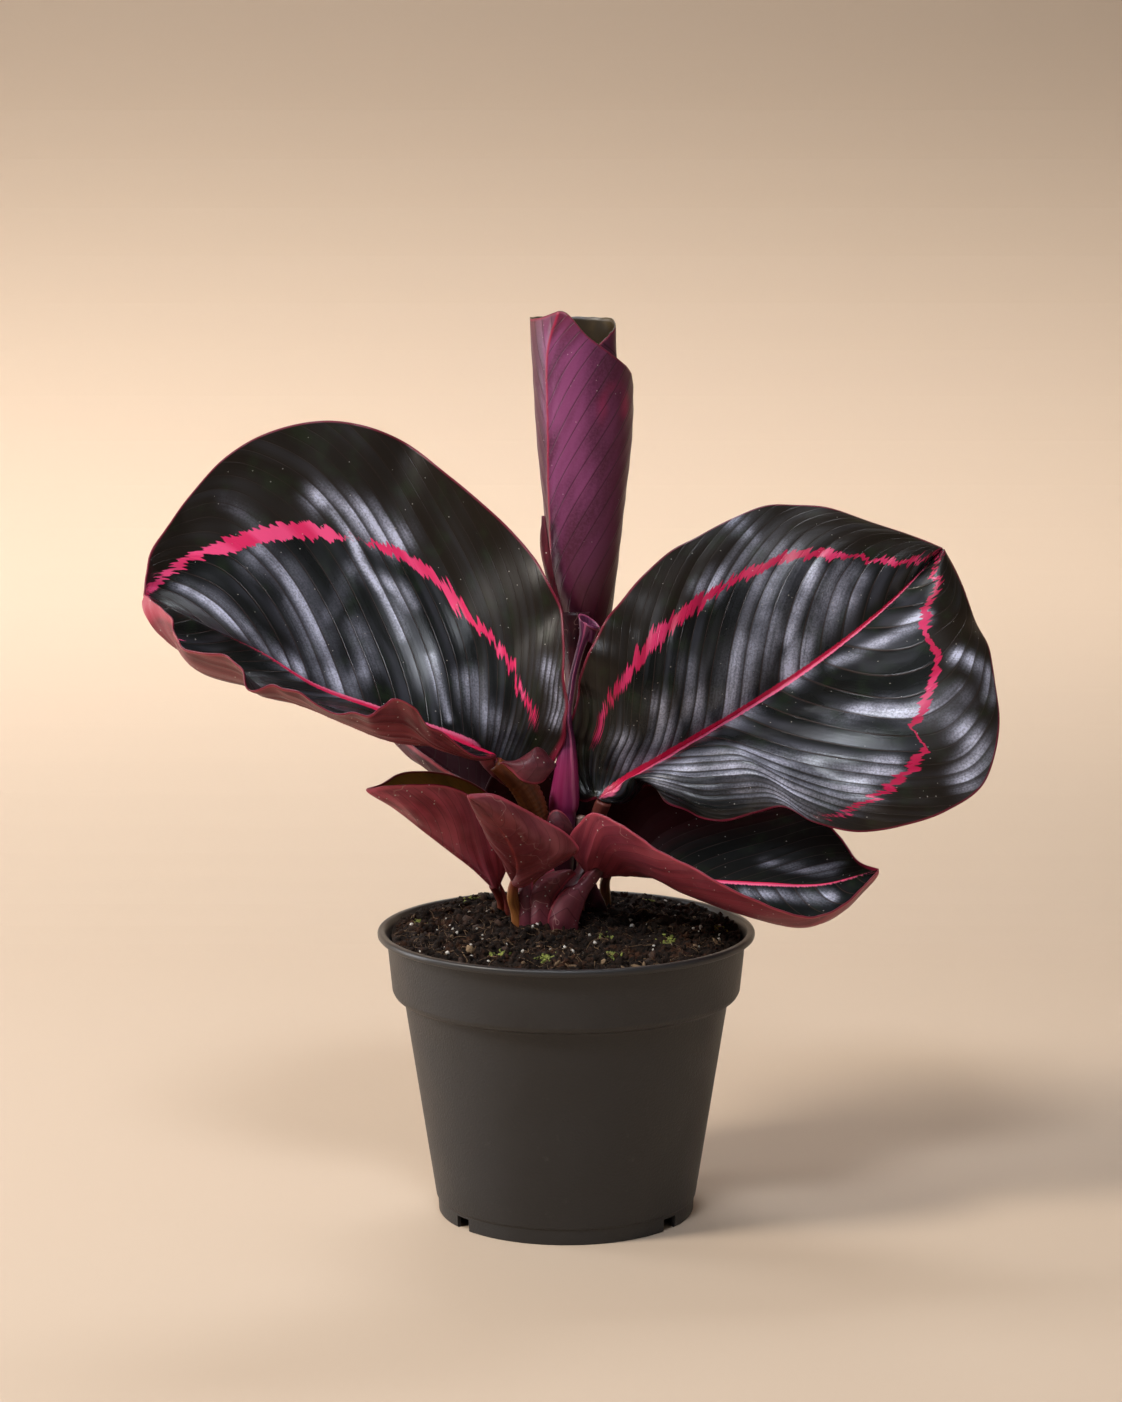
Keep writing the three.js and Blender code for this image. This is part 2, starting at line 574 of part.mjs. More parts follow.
let peat = soil();
add('pot', toGeometry(pot()), 0x2b2b2d, 0.55);
for (const [name, leaf] of Object.entries(leaves)) {
  add(name, blade(leaf), leaf.color, 0.4);
  if (name.endsWith('bract')) peat = clearOf(peat, leaf, [[-1, 0], [0, 1], [0, -1]]);
}
for (const [name, stalk] of Object.entries(stalks)) {
  const hollow = name === 'spear_leaf' ? spearCup : null;
  let solid = toSolid(stem(stalk, 0, hollow));
  if (bearers[name]) solid = mainBody(clearOf(solid, leaves[bearers[name]], [[0, 0], [-1, -1]]));
  add(name, toGeometry(solid), stalk.color, 0.5);
  peat = peat.subtract(toSolid(stem(stalk, fit)));
}
add('rolled_leaf', toGeometry(rolledLeaf()), roll.color, 0.4);
peat = peat.subtract(toSolid(stem(roll.stalk, fit)));
add('soil', toGeometry(mainBody(peat)), 0x1e1510, 1);

export default plant;
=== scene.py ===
# A potted calathea: near-black leaves with a crimson ring, rolled new leaves, and peat in a plastic pot.
# Shapes are worked out in millimetres from the pot's axis at its foot, +Z up, -Y to the front.
import math

import bpy
import numpy as np
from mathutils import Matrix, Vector


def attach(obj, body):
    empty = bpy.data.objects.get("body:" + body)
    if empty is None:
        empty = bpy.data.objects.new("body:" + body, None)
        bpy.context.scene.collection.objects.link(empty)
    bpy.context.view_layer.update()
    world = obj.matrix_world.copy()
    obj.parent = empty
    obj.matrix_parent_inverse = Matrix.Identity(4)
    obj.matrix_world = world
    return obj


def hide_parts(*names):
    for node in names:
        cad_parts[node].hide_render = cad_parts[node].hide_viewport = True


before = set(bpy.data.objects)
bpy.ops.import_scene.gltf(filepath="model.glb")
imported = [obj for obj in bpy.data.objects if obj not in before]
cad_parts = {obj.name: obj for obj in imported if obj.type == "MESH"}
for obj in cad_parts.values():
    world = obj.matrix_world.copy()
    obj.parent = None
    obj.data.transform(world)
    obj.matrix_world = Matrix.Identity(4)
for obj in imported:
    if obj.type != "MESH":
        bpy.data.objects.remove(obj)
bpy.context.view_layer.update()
print("stage: frame loaded,", len(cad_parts), "nodes")

metre = 0.001       # one millimetre
sideways = -3.5     # from the pot's axis to the middle of the part's width


# Camera at the photograph's place

cameraView = {
    "place": (-1.65, -1000.0, 313.4),   # mm
    "downTilt": 8.46,                   # degrees
    "lens": 82.37,                      # mm on a 36 mm high sensor
}


def addCamera(view):
    data = bpy.data.cameras.new("camera")
    data.sensor_fit = "VERTICAL"
    data.sensor_height = 36.0
    data.lens = view["lens"]
    data.clip_end = 20.0
    camera = bpy.data.objects.new("camera", data)
    x, y, z = view["place"]
    camera.location = ((x + sideways) * metre, y * metre, z * metre)
    camera.rotation_euler = (math.radians(90 - view["downTilt"]), 0, 0)
    bpy.context.scene.collection.objects.link(camera)
    bpy.context.scene.camera = camera


addCamera(cameraView)
bpy.context.scene.view_settings.view_transform = "Standard"


# Curves and surfaces as whole arrays

def curveThrough(points, place):
    # Catmull-Rom: 0.5 (2b + (c-a) w + (2a-5b+4c-d) w^2 + (3b-a-3c+d) w^3) on the stretch from b to c
    points = np.asarray(points, float)
    last = len(points) - 1
    x = np.clip(place, 0, 1) * last
    i = np.minimum(x.astype(int), last - 1)
    w = (x - i)[..., None]
    full = np.vstack([2 * points[0] - points[1], points, 2 * points[-1] - points[-2]])
    a, b, c, d = full[i], full[i + 1], full[i + 2], full[i + 3]
    return 0.5 * (2 * b + (c - a) * w + (2 * a - 5 * b + 4 * c - d) * w**2 + (3 * b - a - 3 * c + d) * w**3)


def waves(x, y, seed, count=7):
    # mean of sin(size (x cos a + y sin a) + phase) over a few drawn directions a
    draw = np.random.default_rng(seed)
    turns, phases, sizes = draw.uniform(0, 2 * np.pi, (2, count)).tolist() + [draw.uniform(0.6, 1.7, count)]
    total = sum(np.sin(size * (x * np.cos(a) + y * np.sin(a)) + phase)
                for a, phase, size in zip(turns, phases, sizes))
    return total / count


def lumps(x, y, cell, seed):
    # random heights on a square lattice of that cell, joined by w^2 (3 - 2w) between its corners
    heights = np.random.default_rng(seed).uniform(-1, 1, (256, 256))
    u, v = x / cell + 64, y / cell + 64
    i, j = np.floor(u).astype(int), np.floor(v).astype(int)
    p, q = u - i, v - j
    p, q = p * p * (3 - 2 * p), q * q * (3 - 2 * q)
    i, j = i % 255, j % 255
    low = heights[i, j] * (1 - p) + heights[i + 1, j] * p
    high = heights[i, j + 1] * (1 - p) + heights[i + 1, j + 1] * p
    return low * (1 - q) + high * q


def smoothStep(value, low, high):
    # 0 at low and 1 at high, w w (3 - 2 w) in between, w being the share of the way
    w = np.clip((value - low) / (high - low), 0, 1)
    return w * w * (3 - 2 * w)


def unit(vectors, tiny=0.0):
    # each vector divided by its own length
    return vectors / (np.linalg.norm(vectors, axis=-1, keepdims=True) + tiny)


def gridNormals(points, passes=2):
    # cross product of the grid's two directions, evened out over the neighbours
    normals = unit(np.cross(np.gradient(points, axis=0), np.gradient(points, axis=1)), 1e-12)
    for _ in range(passes):
        padded = np.pad(normals, ((1, 1), (1, 1), (0, 0)), mode="edge")
        normals = normals + padded[:-2, 1:-1] + padded[2:, 1:-1] + padded[1:-1, :-2] + padded[1:-1, 2:]
        normals = unit(normals)
    return normals


def meshPiece(name, vertices, quads, triangles, materials, slots=None, fields=None):
    # one mesh object at the origin from arrays in mm, with a float attribute for each field
    mesh = bpy.data.meshes.new(name)
    quads = np.asarray(quads, np.int32).reshape(-1, 4)
    triangles = np.asarray(triangles, np.int32).reshape(-1, 3)
    corners = np.concatenate([quads.ravel(), triangles.ravel()])
    starts = np.concatenate([np.arange(len(quads)) * 4, len(quads) * 4 + np.arange(len(triangles)) * 3])
    mesh.vertices.add(len(vertices))
    place = (np.asarray(vertices) + (sideways, 0, 0)) * metre
    mesh.vertices.foreach_set("co", place.astype(np.float32).ravel())
    mesh.loops.add(len(corners))
    mesh.loops.foreach_set("vertex_index", corners.astype(np.int32))
    mesh.polygons.add(len(starts))
    mesh.polygons.foreach_set("loop_start", starts.astype(np.int32))
    mesh.polygons.foreach_set("use_smooth", np.ones(len(starts), bool))
    if slots is not None:
        mesh.polygons.foreach_set("material_index", np.asarray(slots, np.int32))
    mesh.update(calc_edges=True)
    mesh.validate()
    for key, values in (fields or {}).items():
        layer = mesh.attributes.new(key, "FLOAT", "POINT")
        layer.data.foreach_set("value", np.asarray(values, np.float32).ravel())
    for material in materials:
        mesh.materials.append(material)
    piece = bpy.data.objects.new(name, mesh)
    bpy.context.scene.collection.objects.link(piece)
    return piece


def closedTube(name, rings, materials, slots=0, fields=None):
    # rows of closed rings joined by quads, with a fan over each end; slots holds one number for each quad
    rows, width = rings.shape[:2]
    i, j = np.meshgrid(np.arange(rows - 1), np.arange(width), indexing="ij")
    k = (j + 1) % width
    quads = np.stack([i * width + j, (i + 1) * width + j, (i + 1) * width + k, i * width + k], -1)
    column = np.arange(width)
    following = (column + 1) % width
    end = (rows - 1) * width
    low = np.stack([column, following, np.full(width, rows * width)], -1)
    high = np.stack([end + following, end + column, np.full(width, rows * width + 1)], -1)
    vertices = np.vstack([rings.reshape(-1, 3), rings[0].mean(0), rings[-1].mean(0)])
    slots = np.broadcast_to(slots, (rows - 1, width))
    faceSlots = np.concatenate([slots.ravel(), slots[0], slots[-1]])
    spread = {}
    for key, values in (fields or {}).items():
        values = np.broadcast_to(values, (rows, width))
        spread[key] = np.concatenate([values.ravel(), [values[0].mean(), values[-1].mean()]])
    return meshPiece(name, vertices, quads, np.vstack([low, high]), materials, faceSlots, spread)


def sheetPiece(name, front, back, rims, materials, fields, lastSlot=1):
    # a thin sheet in closed rings: its front, a rim, its back the other way and the other rim; the
    # materials are
    # one for all, or front, back and rim
    rings = np.concatenate([front, rims[0][:, None], back[:, ::-1], rims[1][:, None]], 1)
    width = front.shape[1]
    slots = np.zeros(2 * width + 2, int)
    if len(materials) > 1:
        slots[width - 1:width + 1] = 2
        slots[width + 1:] = 1
        slots[-2:] = lastSlot
    wrapped = {}
    for key, values in fields.items():
        values = np.broadcast_to(values, front.shape[:2])
        wrapped[key] = np.concatenate([values, values[:, -1:], values[:, ::-1], values[:, :1]], 1)
    return closedTube(name, rings, materials, slots, wrapped)


def joinPiece(piece, slot, *nodes):
    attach(piece, "root")
    if nodes:
        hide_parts(*nodes)


# Materials

class NodeSketch:
    # a short way to write nodes: a number is set on the socket, and anything else is linked to it
    def __init__(self, tree):
        self.tree = tree

    def add(self, kind, inputs=None, **settings):
        made = self.tree.nodes.new(kind)
        for key, value in settings.items():
            setattr(made, key, value)
        for key, value in (inputs or {}).items():
            self.feed(made.inputs[key], value)
        return made

    def feed(self, socket, value):
        if isinstance(value, bpy.types.NodeSocket):
            self.tree.links.new(value, socket)
        elif isinstance(value, tuple) and len(value) == 3 and socket.type == "RGBA":
            socket.default_value = (*value, 1.0)
        else:
            socket.default_value = value

    def math(self, operation, first, second=0.0, third=0.0):
        made = self.add("ShaderNodeMath", operation=operation)
        for socket, value in zip(made.inputs, (first, second, third)):
            self.feed(socket, value)
        return made.outputs[0]

    def times(self, first, second):
        return self.math("MULTIPLY", first, second)

    def plus(self, first, second):
        return self.math("ADD", first, second)

    def minus(self, first, second):
        return self.math("SUBTRACT", first, second)

    def band(self, value, low, high, start=0.0, end=1.0):
        inputs = {"Value": value, "From Min": low, "From Max": high, "To Min": start, "To Max": end}
        return self.add("ShaderNodeMapRange", inputs, interpolation_type="SMOOTHSTEP").outputs["Result"]

    def blend(self, share, low, high):
        made = self.add("ShaderNodeMix", data_type="RGBA")
        for key, value in (("Factor_Float", share), ("A_Color", low), ("B_Color", high)):
            self.feed(next(s for s in made.inputs if s.identifier == key), value)
        return next(s for s in made.outputs if s.identifier == "Result_Color")

    def field(self, name):
        return self.add("ShaderNodeAttribute", attribute_name=name).outputs["Fac"]

    def vector(self, x, y, z=0.0):
        return self.add("ShaderNodeCombineXYZ", {"X": x, "Y": y, "Z": z}).outputs[0]

    def noise(self, place, scale, detail=2.0, roughness=0.5):
        values = {"Vector": place, "Scale": scale, "Detail": detail, "Roughness": roughness}
        return self.add("ShaderNodeTexNoise", values).outputs["Fac"]

    def objectPlace(self):
        return self.add("ShaderNodeTexCoord").outputs["Object"]

    def grain(self, *values):
        return self.noise(self.objectPlace(), *values)

    def bump(self, height, distance, strength=1.0, normal=None):
        inputs = {"Height": height, "Distance": distance, "Strength": strength}
        if normal is not None:
            inputs["Normal"] = normal
        return self.add("ShaderNodeBump", inputs).outputs["Normal"]


def newGroup(name, inputs, outputs):
    tree = bpy.data.node_groups.new(name, "ShaderNodeTree")
    for key, value in inputs.items():
        socket = tree.interface.new_socket(name=key, in_out="INPUT", socket_type="NodeSocketFloat")
        socket.default_value = value
    for key in outputs:
        tree.interface.new_socket(name=key, in_out="OUTPUT", socket_type="NodeSocketFloat")
    source = tree.nodes.new("NodeGroupInput")
    sink = tree.nodes.new("NodeGroupOutput")
    return NodeSketch(tree), source.outputs, sink.inputs


def useGroup(sketch, name, **inputs):
    made = sketch.tree.nodes.new("ShaderNodeGroup")
    made.node_tree = bpy.data.node_groups[name]
    for key, value in inputs.items():
        sketch.feed(made.inputs[key], value)
    return made.outputs


def newMaterial(name, **sockets):
    material = bpy.data.materials.new(name)
    material.use_nodes = True
    tree = material.node_tree
    tree.nodes.clear()
    sketch = NodeSketch(tree)
    shader = tree.nodes.new("ShaderNodeBsdfPrincipled")
    output = tree.nodes.new("ShaderNodeOutputMaterial")
    tree.links.new(shader.outputs[0], output.inputs[0])
    for key, value in sockets.items():
        shader.inputs[key.replace("_", " ")].default_value = value
    return material, sketch, shader.inputs


def shade(tone, share):
    return tuple(share * v for v in tone)


def buildVeinGroup():
    # thin line where vein times count is a whole number, and streaks drawn out along the veins
    inputs = {"Vein": 0, "Count": 20, "Reach": 0, "Width": 0.05, "Seed": 0}
    sketch, given, result = newGroup("sideVeins", inputs, ("Line", "Streak", "Patch"))
    turns = sketch.times(given["Vein"], given["Count"])
    gap = sketch.math("PINGPONG", turns, 0.5)
    line = sketch.minus(1.0, sketch.band(gap, 0.0, given["Width"]))
    fine = sketch.vector(sketch.times(turns, 7.0), sketch.times(given["Reach"], 3.0), given["Seed"])
    broad = sketch.vector(sketch.times(turns, 0.55), sketch.times(given["Reach"], 2.2), given["Seed"])
    sketch.feed(result["Line"], line)
    sketch.feed(result["Streak"], sketch.noise(fine, 1.0, 3.0, 0.6))
    sketch.feed(result["Patch"], sketch.noise(broad, 1.0, 2.0, 0.5))


def buildSpeckGroup():
    # small round dust specks: near the point of a cell, in the cells whose own random value is high
    sketch, given, result = newGroup("dustSpecks", {"Scale": 260, "Size": 0.07, "Share": 0.86}, ("Mask",))
    cells = sketch.add("ShaderNodeTexVoronoi", {"Vector": sketch.objectPlace(), "Scale": given["Scale"]})
    near = sketch.math("LESS_THAN", cells.outputs["Distance"], given["Size"])
    chosen = sketch.math("GREATER_THAN", cells.outputs["Color"], given["Share"])
    sketch.feed(result["Mask"], sketch.times(near, chosen))


buildVeinGroup()
buildSpeckGroup()

leafTones = {
    "outer": (0.01, 0.0066, 0.004),
    "inner": (0.0035, 0.0045, 0.0045),
    # painted highlight tone, laid on the tops where the light's sheen falls
    "paintedSheen": (0.56, 0.58, 0.74),
    # painted sheen tone for the flank of each pleat that faces the light
    "paintedPleatSheen": (0.034, 0.036, 0.05),
    "green": (0.015, 0.03, 0.01),
    "ring": (0.56, 0.012, 0.085),
    "ringPale": (0.78, 0.07, 0.2),
    "rib": (0.5, 0.008, 0.055),
    "ribPale": (0.74, 0.14, 0.27),
    "line": (0.04, 0.024, 0.022),
    "edge": (0.2, 0.009, 0.032),
    "paleEdge": (0.42, 0.055, 0.085),
    # painted sheen tone for the undersides
    "paintedUnderSheen": (0.36, 0.095, 0.12),
    "foot": (0.055, 0.006, 0.012),
    "dust": (0.5, 0.47, 0.43),
    "scratch": (0.42, 0.22, 0.2),
}


def upperFace(name, look):
    # near-black satin with a ring, a midrib and veins, with a painted sheen that starts sharply at each vein
    # and fades towards the next as on pleat flanks facing the light, and painted highlights where the streak
    # field is high;
    # the ring's edges move in and out by noise drawn out along the veins
    tones = {**leafTones, **look.get("tones", {})}
    shine = look.get("shine", 0.3)
    material, sketch, shader = newMaterial(name, Specular_IOR_Level=shine, Coat_Roughness=0.27)
    reach = sketch.field("reach")
    vein = sketch.field("vein")
    veins = useGroup(sketch, "sideVeins", Vein=vein, Count=look["veins"], Reach=reach, Width=0.06,
                     Seed=look["seed"])
    jagged = sketch.vector(sketch.times(vein, look["veins"] * 1.6), sketch.times(reach, 1.6),
                           look["seed"] + 5.0)
    slow = sketch.minus(sketch.noise(jagged, 1.0, 1.0), 0.5)
    quick = sketch.minus(sketch.noise(jagged, 3.5, 1.0), 0.5)
    shifted = sketch.plus(sketch.times(slow, look["jagSlow"]),
                          sketch.times(quick, look["jagQuick"]))
    ringGap = sketch.plus(sketch.field("ringGap"), shifted)
    zone = sketch.band(ringGap, -4.0, 5.0)
    base = sketch.blend(zone, tones["inner"], tones["outer"])
    mottled = sketch.grain(130.0, 3.0)
    base = sketch.blend(sketch.times(sketch.band(mottled, 0.5, 0.75), 0.35), base, tones["green"])
    turns = sketch.times(vein, look["veins"])
    fold = sketch.math("FRACT", sketch.plus(turns, sketch.times(quick, 0.12)))
    flank = sketch.times(sketch.band(fold, 0.02, 0.12), sketch.band(fold, 0.98, 0.35))
    # painted sheen: bluish grey on the flank of each pleat beside a vein, fading towards the next vein
    paintedPleatSheen = sketch.times(sketch.band(veins["Patch"], 0.46, 0.68), flank)
    paintedPleatSheen = sketch.times(paintedPleatSheen, sketch.times(sketch.band(zone, 0.0, 1.0, 1.0, 0.25), look["paintedSheen"]))
    base = sketch.blend(paintedPleatSheen, base, tones["paintedPleatSheen"])
    # painted highlights: the pale tone where the leaf's streak field is high, broken up by noise along the
    # veins
    stretch = sketch.vector(sketch.times(sketch.math("FLOOR", turns), 3.7), look["seed"],
                            sketch.times(reach, 0.9))
    flank = sketch.times(flank, sketch.band(sketch.noise(stretch, 1.0, 0.0), 0.36, 0.6, 0.15, 1.15))
    ragged = sketch.times(sketch.band(veins["Streak"], 0.28, 0.6, 0.55, 1.0),
                         sketch.plus(0.2, sketch.times(flank, 0.95)))
    fine = sketch.grain(1500.0, 2.0, 0.6)
    ragged = sketch.times(ragged, sketch.band(fine, 0.32, 0.66, 0.6, 1.15))
    cloud = sketch.band(sketch.grain(55.0, 2.0), 0.36, 0.6, 0.35, 1.25)
    paintedSheen = sketch.times(sketch.times(sketch.field("paintedSheen"), cloud), ragged)
    base = sketch.blend(sketch.times(paintedSheen, 1.28), base, tones["paintedSheen"])
    lineShare = sketch.times(veins["Line"], sketch.band(zone, 0.0, 1.0, 0.7, 0.3))
    base = sketch.blend(lineShare, base, tones["line"])
    ringTone = sketch.blend(sketch.band(sketch.noise(jagged, 0.5, 0.0), 0.42, 0.62), tones["ring"],
                            tones["ringPale"])
    ringMask = sketch.band(sketch.minus(sketch.field("ringWidth"), sketch.math("ABSOLUTE", ringGap)),
                           0.0, 0.45)
    base = sketch.blend(ringMask, base, ringTone)
    ribGap = sketch.field("ribGap")
    ribWidth = sketch.field("ribWidth")
    ribJag = sketch.times(sketch.minus(veins["Streak"], 0.5), 0.9)
    strayed = sketch.math("ABSOLUTE", sketch.plus(ribGap, ribJag))
    ribMask = sketch.band(sketch.minus(ribWidth, strayed), -0.05, 0.35)
    across = sketch.math("DIVIDE", ribGap, sketch.math("MAXIMUM", ribWidth, 0.05))
    ribTone = sketch.blend(sketch.band(across, -0.75, 0.15), tones["ribPale"], tones["rib"])
    base = sketch.blend(ribMask, base, ribTone)
    foot = sketch.plus(vein, sketch.times(slow, 0.2))
    foot = sketch.band(foot, 0.34, 0.06, 0.0, look.get("foot", 0.0))
    base = sketch.blend(foot, base, tones["foot"])
    rimMask = sketch.band(sketch.field("edgeGap"), 0.7, 0.2)
    base = sketch.blend(sketch.times(rimMask, 0.8), base, tones["edge"])
    specks = useGroup(sketch, "dustSpecks", Scale=420.0, Size=0.085, Share=0.6)["Mask"]
    base = sketch.blend(sketch.times(specks, 0.5), base, tones["dust"])
    sketch.feed(shader["Base Color"], base)
    # the coat follows the painted highlight and sheen masks
    bright = sketch.plus(paintedSheen, paintedPleatSheen)
    sketch.feed(shader["Coat Weight"], sketch.times(bright, look.get("gloss", 0.9)))
    rough = sketch.plus(look["roughness"], sketch.times(zone, 0.1))
    rough = sketch.plus(rough, sketch.times(sketch.minus(veins["Patch"], 0.5), 0.35))
    sketch.feed(shader["Roughness"], rough)
    grain = sketch.grain(900.0, 3.0)
    relief = sketch.minus(sketch.times(veins["Streak"], 0.5), sketch.times(veins["Line"], 0.6))
    normal = sketch.bump(relief, 0.00022, 0.5)
    sketch.feed(shader["Normal"], sketch.bump(grain, 0.00005, 0.35, normal))
    return material


def underFace(name, look):
    # satin maroon with darker veins, painted sheen in pale pinkish patches, and scratches where a noise is
    # within a hair of its middle value
    material, sketch, shader = newMaterial(name, Specular_IOR_Level=0.3, Sheen_Weight=0.02,
                                           Sheen_Roughness=0.45, Sheen_Tint=(1.0, 0.62, 0.7, 1.0))
    reach = sketch.field("reach")
    veins = useGroup(sketch, "sideVeins", Vein=sketch.field("vein"), Count=look["veins"], Reach=reach,
                     Width=0.05, Seed=look["seed"] + 20.0)
    base = sketch.blend(sketch.band(veins["Patch"], 0.38, 0.68), look["dark"], look["light"])
    base = sketch.blend(sketch.times(sketch.band(veins["Streak"], 0.35, 0.7), 0.3), base, look["light"])
    cloud = sketch.grain(60.0, 3.0)
    base = sketch.blend(sketch.times(sketch.band(cloud, 0.45, 0.7), 0.35), base, look["cool"])
    # painted sheen: pale pinkish patches by noise
    paintedUnderSheen = sketch.grain(34.0, 4.0, 0.6)
    base = sketch.blend(sketch.band(paintedUnderSheen, 0.46, 0.68, 0.0, 0.34), base, leafTones["paintedUnderSheen"])
    base = sketch.blend(sketch.times(veins["Line"], 0.7), base, look["vein"])
    ribGap = sketch.math("ABSOLUTE", sketch.field("ribGap"))
    ribMask = sketch.band(sketch.minus(sketch.field("ribWidth"), ribGap), -0.1, 0.6)
    base = sketch.blend(sketch.times(ribMask, 0.7), base, look["rib"])
    rimMask = sketch.band(sketch.field("edgeGap"), 0.9, 0.3)
    base = sketch.blend(sketch.times(rimMask, 0.8), base, leafTones["paleEdge"])
    winding = sketch.math("ABSOLUTE", sketch.minus(sketch.grain(120.0, 2.0), 0.5))
    scratches = sketch.times(sketch.band(winding, 0.01, 0.003), sketch.band(cloud, 0.53, 0.61))
    base = sketch.blend(sketch.times(scratches, 0.55), base, leafTones["scratch"])
    specks = useGroup(sketch, "dustSpecks", Scale=480.0, Size=0.12, Share=0.54)["Mask"]
    base = sketch.blend(sketch.times(specks, 0.8), base, leafTones["dust"])
    sketch.feed(shader["Base Color"], base)
    sketch.feed(shader["Roughness"], sketch.band(veins["Streak"], 0.2, 0.8, 0.36, 0.52))
    relief = sketch.plus(sketch.times(veins["Streak"], 0.6), veins["Line"])
    normal = sketch.bump(relief, 0.00016, 0.45)
    sketch.feed(shader["Normal"], sketch.bump(sketch.grain(1100.0, 2.0), 0.00004, 0.3, normal))
    return material


def rimFace(name, tone):
    # one tone, 0.6 to 1.35 times as bright by a fine noise
    material, sketch, shader = newMaterial(name, Roughness=0.42)
    drift = sketch.grain(90.0, 2.0)
    sketch.feed(shader["Base Color"], sketch.blend(drift, shade(tone, 0.6), shade(tone, 1.35)))
    return material


# Leaf blades

bladeLook = {
    "thick": 0.45,          # mm
    "first": 0.006,         # where the blade starts and ends along the leaf
    "last": 0.996,
    "ribClear": 9.0,        # half width from which the midrib has its full depth
    "zoneShare": 0.6,       # where a leaf without a ring turns from its inner to its outer tone
}

maroon = {"dark": (0.085, 0.012, 0.018), "light": (0.21, 0.04, 0.05), "cool": (0.14, 0.03, 0.055),
          "vein": (0.045, 0.006, 0.012), "rib": (0.28, 0.022, 0.035)}
